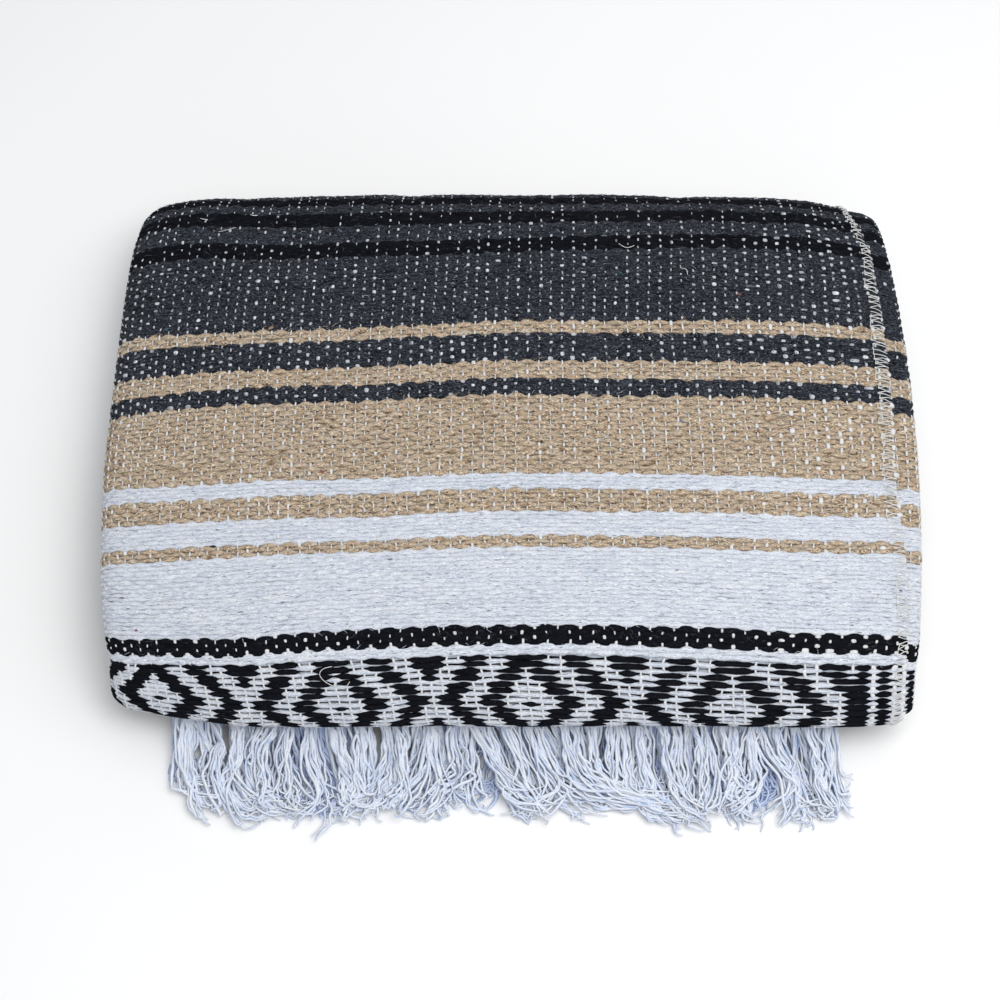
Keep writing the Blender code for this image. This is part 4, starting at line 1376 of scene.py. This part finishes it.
# ---- fringe
# Guides of the fringe: X of the root, then (X, distance in front of the heading), all in mm
GUIDES = [
    (-182, (-180, 20), (-176, 38), (-168, 52), (-150, 57)),
    (-172, (-172, 22), (-170, 38), (-162, 53), (-150, 58)),
    (-158, (-153, 22), (-159, 38), (-154, 53), (-144, 58)),
    (-144, (-146, 24), (-151, 38), (-147, 53), (-139, 59)),
    (-131, (-137, 24), (-135, 40), (-130, 50), (-125, 56)),
    (-117, (-116, 24), (-113, 40), (-111, 52), (-108, 61)),
    (-107, (-105, 24), (-98, 40), (-94, 52), (-103, 65)),
    (-97, (-92, 24), (-86, 40), (-86, 54), (-96, 62)),
    (-88, (-87, 24), (-85, 40), (-83, 54), (-76, 57)),
    (-77, (-70, 22), (-68, 36), (-78, 46), (-88, 53)),
    (-64, (-60, 24), (-64, 38), (-74, 49), (-84, 55)),
    (-51, (-57, 26), (-62, 40), (-64, 52), (-61, 58)),
    (-37, (-39, 24), (-42, 38), (-50, 50), (-58, 58)),
    (-26, (-28, 24), (-31, 38), (-35, 48), (-38, 54)),
    (-16, (-10, 24), (-6, 38), (-2, 50), (1, 58)),
    (-5, (2, 22), (5, 36), (8, 48), (11, 60)),
    (6, (13, 24), (20, 38), (19, 48), (13, 56)),
    (19, (22, 22), (28, 36), (40, 46), (54, 50)),
    (28, (33, 24), (38, 38), (52, 46), (66, 50)),
    (41, (36, 24), (41, 36), (54, 44), (70, 50)),
    (54, (54, 24), (55, 36), (66, 46), (78, 51)),
    (70, (70, 24), (72, 38), (76, 48), (80, 55)),
    (81, (80, 24), (82, 38), (86, 48), (93, 60)),
    (97, (101, 22), (102, 38), (100, 50), (97, 59)),
    (108, (111, 22), (111, 36), (112, 48), (113, 58)),
    (122, (119, 22), (119, 36), (121, 48), (124, 59)),
    (133, (137, 20), (145, 34), (148, 50), (134, 61)),
    (143, (146, 24), (150, 38), (153, 50), (156, 58)),
    (157, (162, 24), (165, 38), (166, 48), (164, 56)),
    (167, (170, 22), (172, 36), (174, 48), (179, 56)),
    (176, (177, 18), (177, 34), (178, 44), (182, 49)),
    (180, (181, 14), (180, 24), (180, 32), (182, 40)),
]
# A row of locks: how many, fewest and most strands in each, shortest and longest reach, how loose
# they are, how much of the guides' swing they take, narrowest and widest half width, and the
# height of a lock's middle by its distance in front of the heading, in mm
Row = namedtuple("Row", "locks strands reaches loose swing widths seed material heights")
ROWS = {
    "upper": Row(41, (8, 10), (0.84, 1.02), 1.15, 0.95, (0.0022, 0.0036), 17, "fringe",
                 ((0, 21.2), (6, 20.7), (14.5, 16.2), (29, 10.0), (46, 6.2), (60, 4.0))),
    "lower": Row(44, (7, 9), (0.84, 1.02), 1.2, 0.65, (0.0024, 0.0040), 23, "fringe",
                 ((0, 20.4), (5, 19.0), (11, 12.5), (22.5, 6.4), (40, 3.6), (60, 2.2))),
    # the deep row takes the white yarn painted darker and bluer, as painted shade
    "deep": Row(56, (7, 9), (0.70, 0.90), 1.0, 0.30, (0.0030, 0.0050), 29, "fringe_deep_painted_shade",
                ((0, 19.8), (4, 17.2), (9, 9.2), (22.5, 2.4), (40, 1.3), (60, 1.0))),
}
STRAND_STEPS = 30
STRAND_RADIUS = 0.00077
STRAND_WANDER, STRAND_CRIMP, STRAND_FRIZZ = 0.0024, 0.00040, 0.0012
FRINGE_SPAN = (-0.179, 0.175)
STRAY_LEFT, STRAY_RIGHT = -0.186, 0.178     # no lock strays past these X
FLUNG_SHARE, FLUNG_REACH = 0.14, 0.010      # how many locks are flung aside, and how far
FRINGE_LEFT, FRINGE_RIGHT = -0.1765, 0.1695    # beyond these X the strands are held back
FRINGE_HOLD = 0.30
HEADING_Z = (2 * LOWER_RADIUS + 0.0006, SLOT_TOP - 0.0006)   # room between the two front folds
SLOT_DEPTH = 0.012            # how far out of the heading a strand is held to that room
HEADING_YARNS = 150
HEADING_HALF = 0.174          # half width of the heading


def guide_lines():
    """Guides as arrays of points from the root to the tip, in metres."""
    lines = []
    for root, *marks in GUIDES:
        lines.append([(root, 0.0), (root + (marks[0][0] - root) * 0.25, 8.0), *marks])
    return np.array(lines) * MM


def wandering(t, seed, cell):
    """A smooth wander along a strand that starts at nothing."""
    line = noise(t / cell, 0.37 * seed, 81)
    return line - line[0]


def lock_form(chance, row, number):
    """What a lock draws by chance; all its strands share it."""
    share = (number + 0.5 + chance.uniform(-0.38, 0.38)) / row.locks
    root = FRINGE_SPAN[0] + (FRINGE_SPAN[1] - FRINGE_SPAN[0]) * share
    stray = chance.gauss(0, 0.0042) * row.loose
    if chance.random() < FLUNG_SHARE:
        stray += chance.choice((-1, 1)) * FLUNG_REACH
    return SimpleNamespace(
        root=root,
        stray=min(max(stray, STRAY_LEFT - root), STRAY_RIGHT - root),
        reach=chance.uniform(*row.reaches),
        wave=chance.uniform(0.0022, 0.0052) * row.loose,
        curl=chance.gauss(0, 0.0044),
        back=abs(chance.gauss(0, 0.0040)),
        height=chance.uniform(-0.0010, 0.0024),
        twist=chance.uniform(0.5, 2.6) * chance.choice((-1, 1)),
        wide=chance.uniform(*row.widths),
        pinch=chance.uniform(0.32, 0.80),
        spill=chance.uniform(0.3, 1.3) * row.loose,
        key=row.seed * 40 + number)


def strand(chance, row, lock, key, guides):
    """Route and radii of one strand of a lock, from the heading to its tip."""
    t = np.linspace(0, 1, STRAND_STEPS)
    crimped = np.minimum(t * 4, 1)
    angle = chance.uniform(0, 2 * math.pi)
    radius = lock.wide * chance.uniform(0.15, 1.0)
    own = chance.gauss(0, 0.0016) * row.loose
    length = lock.reach * chance.uniform(0.84, 1.04)
    # along the guides on both sides of its root, with the waves of its lock
    guided = lock.root + lock.stray * 0.7 + own
    place = float(np.interp(guided, guides[:, 0, 0], np.arange(len(guides))))
    low = min(int(place), len(guides) - 2)
    blend = place - low
    line = smooth_line(guides[low] * (1 - blend) + guides[low + 1] * blend, STRAND_STEPS)
    x = line[0, 0] + (line[:, 0] - line[0, 0]) * row.swing
    x = x + (lock.root - guided) * (1 - t) ** 1.5 + lock.stray * t * 0.5
    front = line[:, 1] * length
    x = x + lock.wave * wandering(t, lock.key, 0.30)
    front = front + lock.wave * 0.5 * wandering(t, lock.key + 0.5, 0.26)
    # its own wander and crimp, and the curl at its tip
    x = x + STRAND_WANDER * wandering(t, key, 0.15) * (0.35 + t)
    front = front + 0.0014 * wandering(t, key + 0.5, 0.13)
    x = x + STRAND_CRIMP * np.sin(t * chance.uniform(30, 46) + angle) * crimped
    x = x + STRAND_FRIZZ * wandering(t, key + 0.75, 0.07) * crimped
    end = np.clip((t - 0.66) / 0.34, 0, 1) ** 2
    x = x + end * (lock.curl + chance.gauss(0, 0.0025))
    front = front - end * (lock.back + abs(chance.gauss(0, 0.0020)))
    # its place in the bundle, which is drawn in below the root and opens at the tip
    opened = radius * (1 - (1 - lock.pinch) * np.sin(np.clip(t / 0.6, 0, 1) * math.pi)
                       + lock.spill * t ** 2)
    turn = angle + lock.twist * t * math.pi
    x = x + opened * np.cos(turn)
    held = np.clip(x, FRINGE_LEFT, FRINGE_RIGHT)
    x = held + (x - held) * FRINGE_HOLD
    z = np.interp(front, *np.array(row.heights).T * MM)
    z = z + lock.height * np.sin(np.clip(t * 1.3, 0, 1) * math.pi)
    z = z + np.minimum(opened, 0.0026) * np.sin(turn) * (0.9 - 0.35 * t)
    z = z + 0.0009 * wandering(t, key + 0.25, 0.14)
    z = np.maximum(z, STRAND_RADIUS * 1.05)
    slot = np.clip(front / SLOT_DEPTH, 0, 1)
    z = np.clip(z, *HEADING_Z) * (1 - slot) + z * slot
    fade = 1 - 0.5 * smooth_share(t, 0.86, 1.0)
    return (settled(x, HEADING_FRONT - front, z),
            STRAND_RADIUS * chance.uniform(0.70, 1.25) * fade)


def fringe_row(row):
    """Strands of one row of locks."""
    chance = random.Random(row.seed)
    guides = guide_lines()
    routes, sizes, seeds = [], [], []
    for number in range(row.locks):
        lock = lock_form(chance, row, number)
        for place in range(chance.randint(*row.strands)):
            key = row.seed * 1000 + number * 20 + place
            route, radii = strand(chance, row, lock, key, guides)
            routes.append(route)
            sizes.append(radii)
            seeds.append(number * 7.1 + place * 1.3)
    return tubes(routes, sizes, seeds, SOFT_SECTION)


def heading():
    """Bunched yarns of the fringe's heading between the two front folds."""
    t = np.linspace(0, 1, 7)
    routes = []
    for number in range(HEADING_YARNS):
        chance = hashed(np.arange(4), number, 61)
        x = -HEADING_HALF + 2 * HEADING_HALF * (number + chance[0]) / HEADING_YARNS
        x = x + 0.0012 * (chance[1] - 0.5) * t
        z = 0.0208 + 0.0016 * (chance[2] - 0.5) + 0.0002 * np.sin(t * 5)
        y = HEADING_FRONT + 0.008 * (1 - t) - 0.001 * chance[3]
        routes.append(settled(x, y, z))
    return tubes(routes, 0.0007, np.arange(HEADING_YARNS), SOFT_SECTION)


def fringe_piece(name):
    """A row of locks; the deep one brings the heading with it."""
    blocks = [fringe_row(ROWS[name])]
    if name == "deep":
        blocks.append(heading())
    return strips("fringe_%s_locks" % name, blocks, MATERIALS[ROWS[name].material],
                  closed=True, columns=8)


fringe_upper, fringe_lower, fringe_deep_painted_shade = (fringe_piece(name) for name in ROWS)
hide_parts("fringe")

# ---- floor, light, camera
FLOOR_REACH = 6.0


def floor():
    """A plain pale floor."""
    graph = Graph("studio_floor")
    place = graph.add("ShaderNodeTexCoord").outputs["Object"]
    patch = graph.noise(place, (3.0, 3.0, 3.0), 2.0)
    graph.coat(graph.ramp(patch, [(0.0, (0.90, 0.90, 0.91)), (1.0, (0.93, 0.93, 0.935))]),
               0.95, 0.0)
    graph.surface.inputs["Specular IOR Level"].default_value = 0.1
    mesh = bpy.data.meshes.new("studio_floor")
    mesh.from_pydata([(x * FLOOR_REACH, y * FLOOR_REACH, 0)
                      for x, y in ((-1, -1), (1, -1), (1, 1), (-1, 1))], [], [(0, 1, 2, 3)])
    mesh.materials.append(graph.material)
    plane = placed("studio_floor", mesh)


LIGHTS = [
    # (name,       place,               aim,              size, watts, colour)
    ("key_light",  (0.30, -0.42, 1.60), (0.0, -0.02, 0.0), 1.1, 16.6, (1.0, 0.988, 0.962)),
    ("fill_light", (0.80, -0.20, 1.30), (0.0, 0.0, 0.0), 1.2, 5.5, (1.0, 0.99, 0.97)),
    ("back_light", (0.1, 1.10, 1.30), (0.0, 0.05, 0.0), 1.2, 2.6, (1.0, 1.0, 1.0)),
    ("front_light", (0.0, -1.50, 0.55), (0.0, -0.10, 0.03), 1.2, 1.3, (0.97, 0.985, 1.0)),
]
WORLD_LIGHT, WORLD_COLOUR = 0.42, (0.93, 0.965, 1.0, 1.0)


def lights():
    """Soft lamps and an even sky."""
    for name, place, aim, size, watts, colour in LIGHTS:
        lamp = bpy.data.lights.new(name, "AREA")
        lamp.size = size
        lamp.energy = watts
        lamp.color = colour
        point_at(placed(name, lamp), place, aim)
    world = bpy.data.worlds.new("studio")
    bpy.context.scene.world = world
    world.use_nodes = True
    sky = world.node_tree.nodes["Background"]
    sky.inputs[0].default_value = WORLD_COLOUR
    sky.inputs[1].default_value = WORLD_LIGHT


def point_at(item, place, aim):
    """Put a lamp or a camera at a place, looking at its aim."""
    item.location = place
    item.rotation_mode = "QUATERNION"
    item.rotation_quaternion = (Vector(aim) - Vector(place)).to_track_quat("-Z", "Y")


CAMERA_ELEVATION = 62.0
CAMERA_DISTANCE = 1.0926
CAMERA_AIM = (-0.0048, -0.0093, 0.0325)
CAMERA_LENS = 74.2


def camera():
    """The camera, in front of the pack and well above it."""
    data = bpy.data.cameras.new("camera")
    data.lens = CAMERA_LENS
    data.sensor_width = 36.0
    data.dof.use_dof = False
    data.clip_start, data.clip_end = 0.05, 50.0
    item = placed("camera", data)
    tilt = math.radians(CAMERA_ELEVATION)
    x, y, z = CAMERA_AIM
    place = (x, y - CAMERA_DISTANCE * math.cos(tilt), z + CAMERA_DISTANCE * math.sin(tilt))
    point_at(item, place, CAMERA_AIM)
    bpy.context.scene.camera = item


floor()
lights()
camera()
bpy.context.scene.view_settings.view_transform = "Standard"
bpy.context.scene.view_settings.look = "None"

bpy.context.view_layer.update()
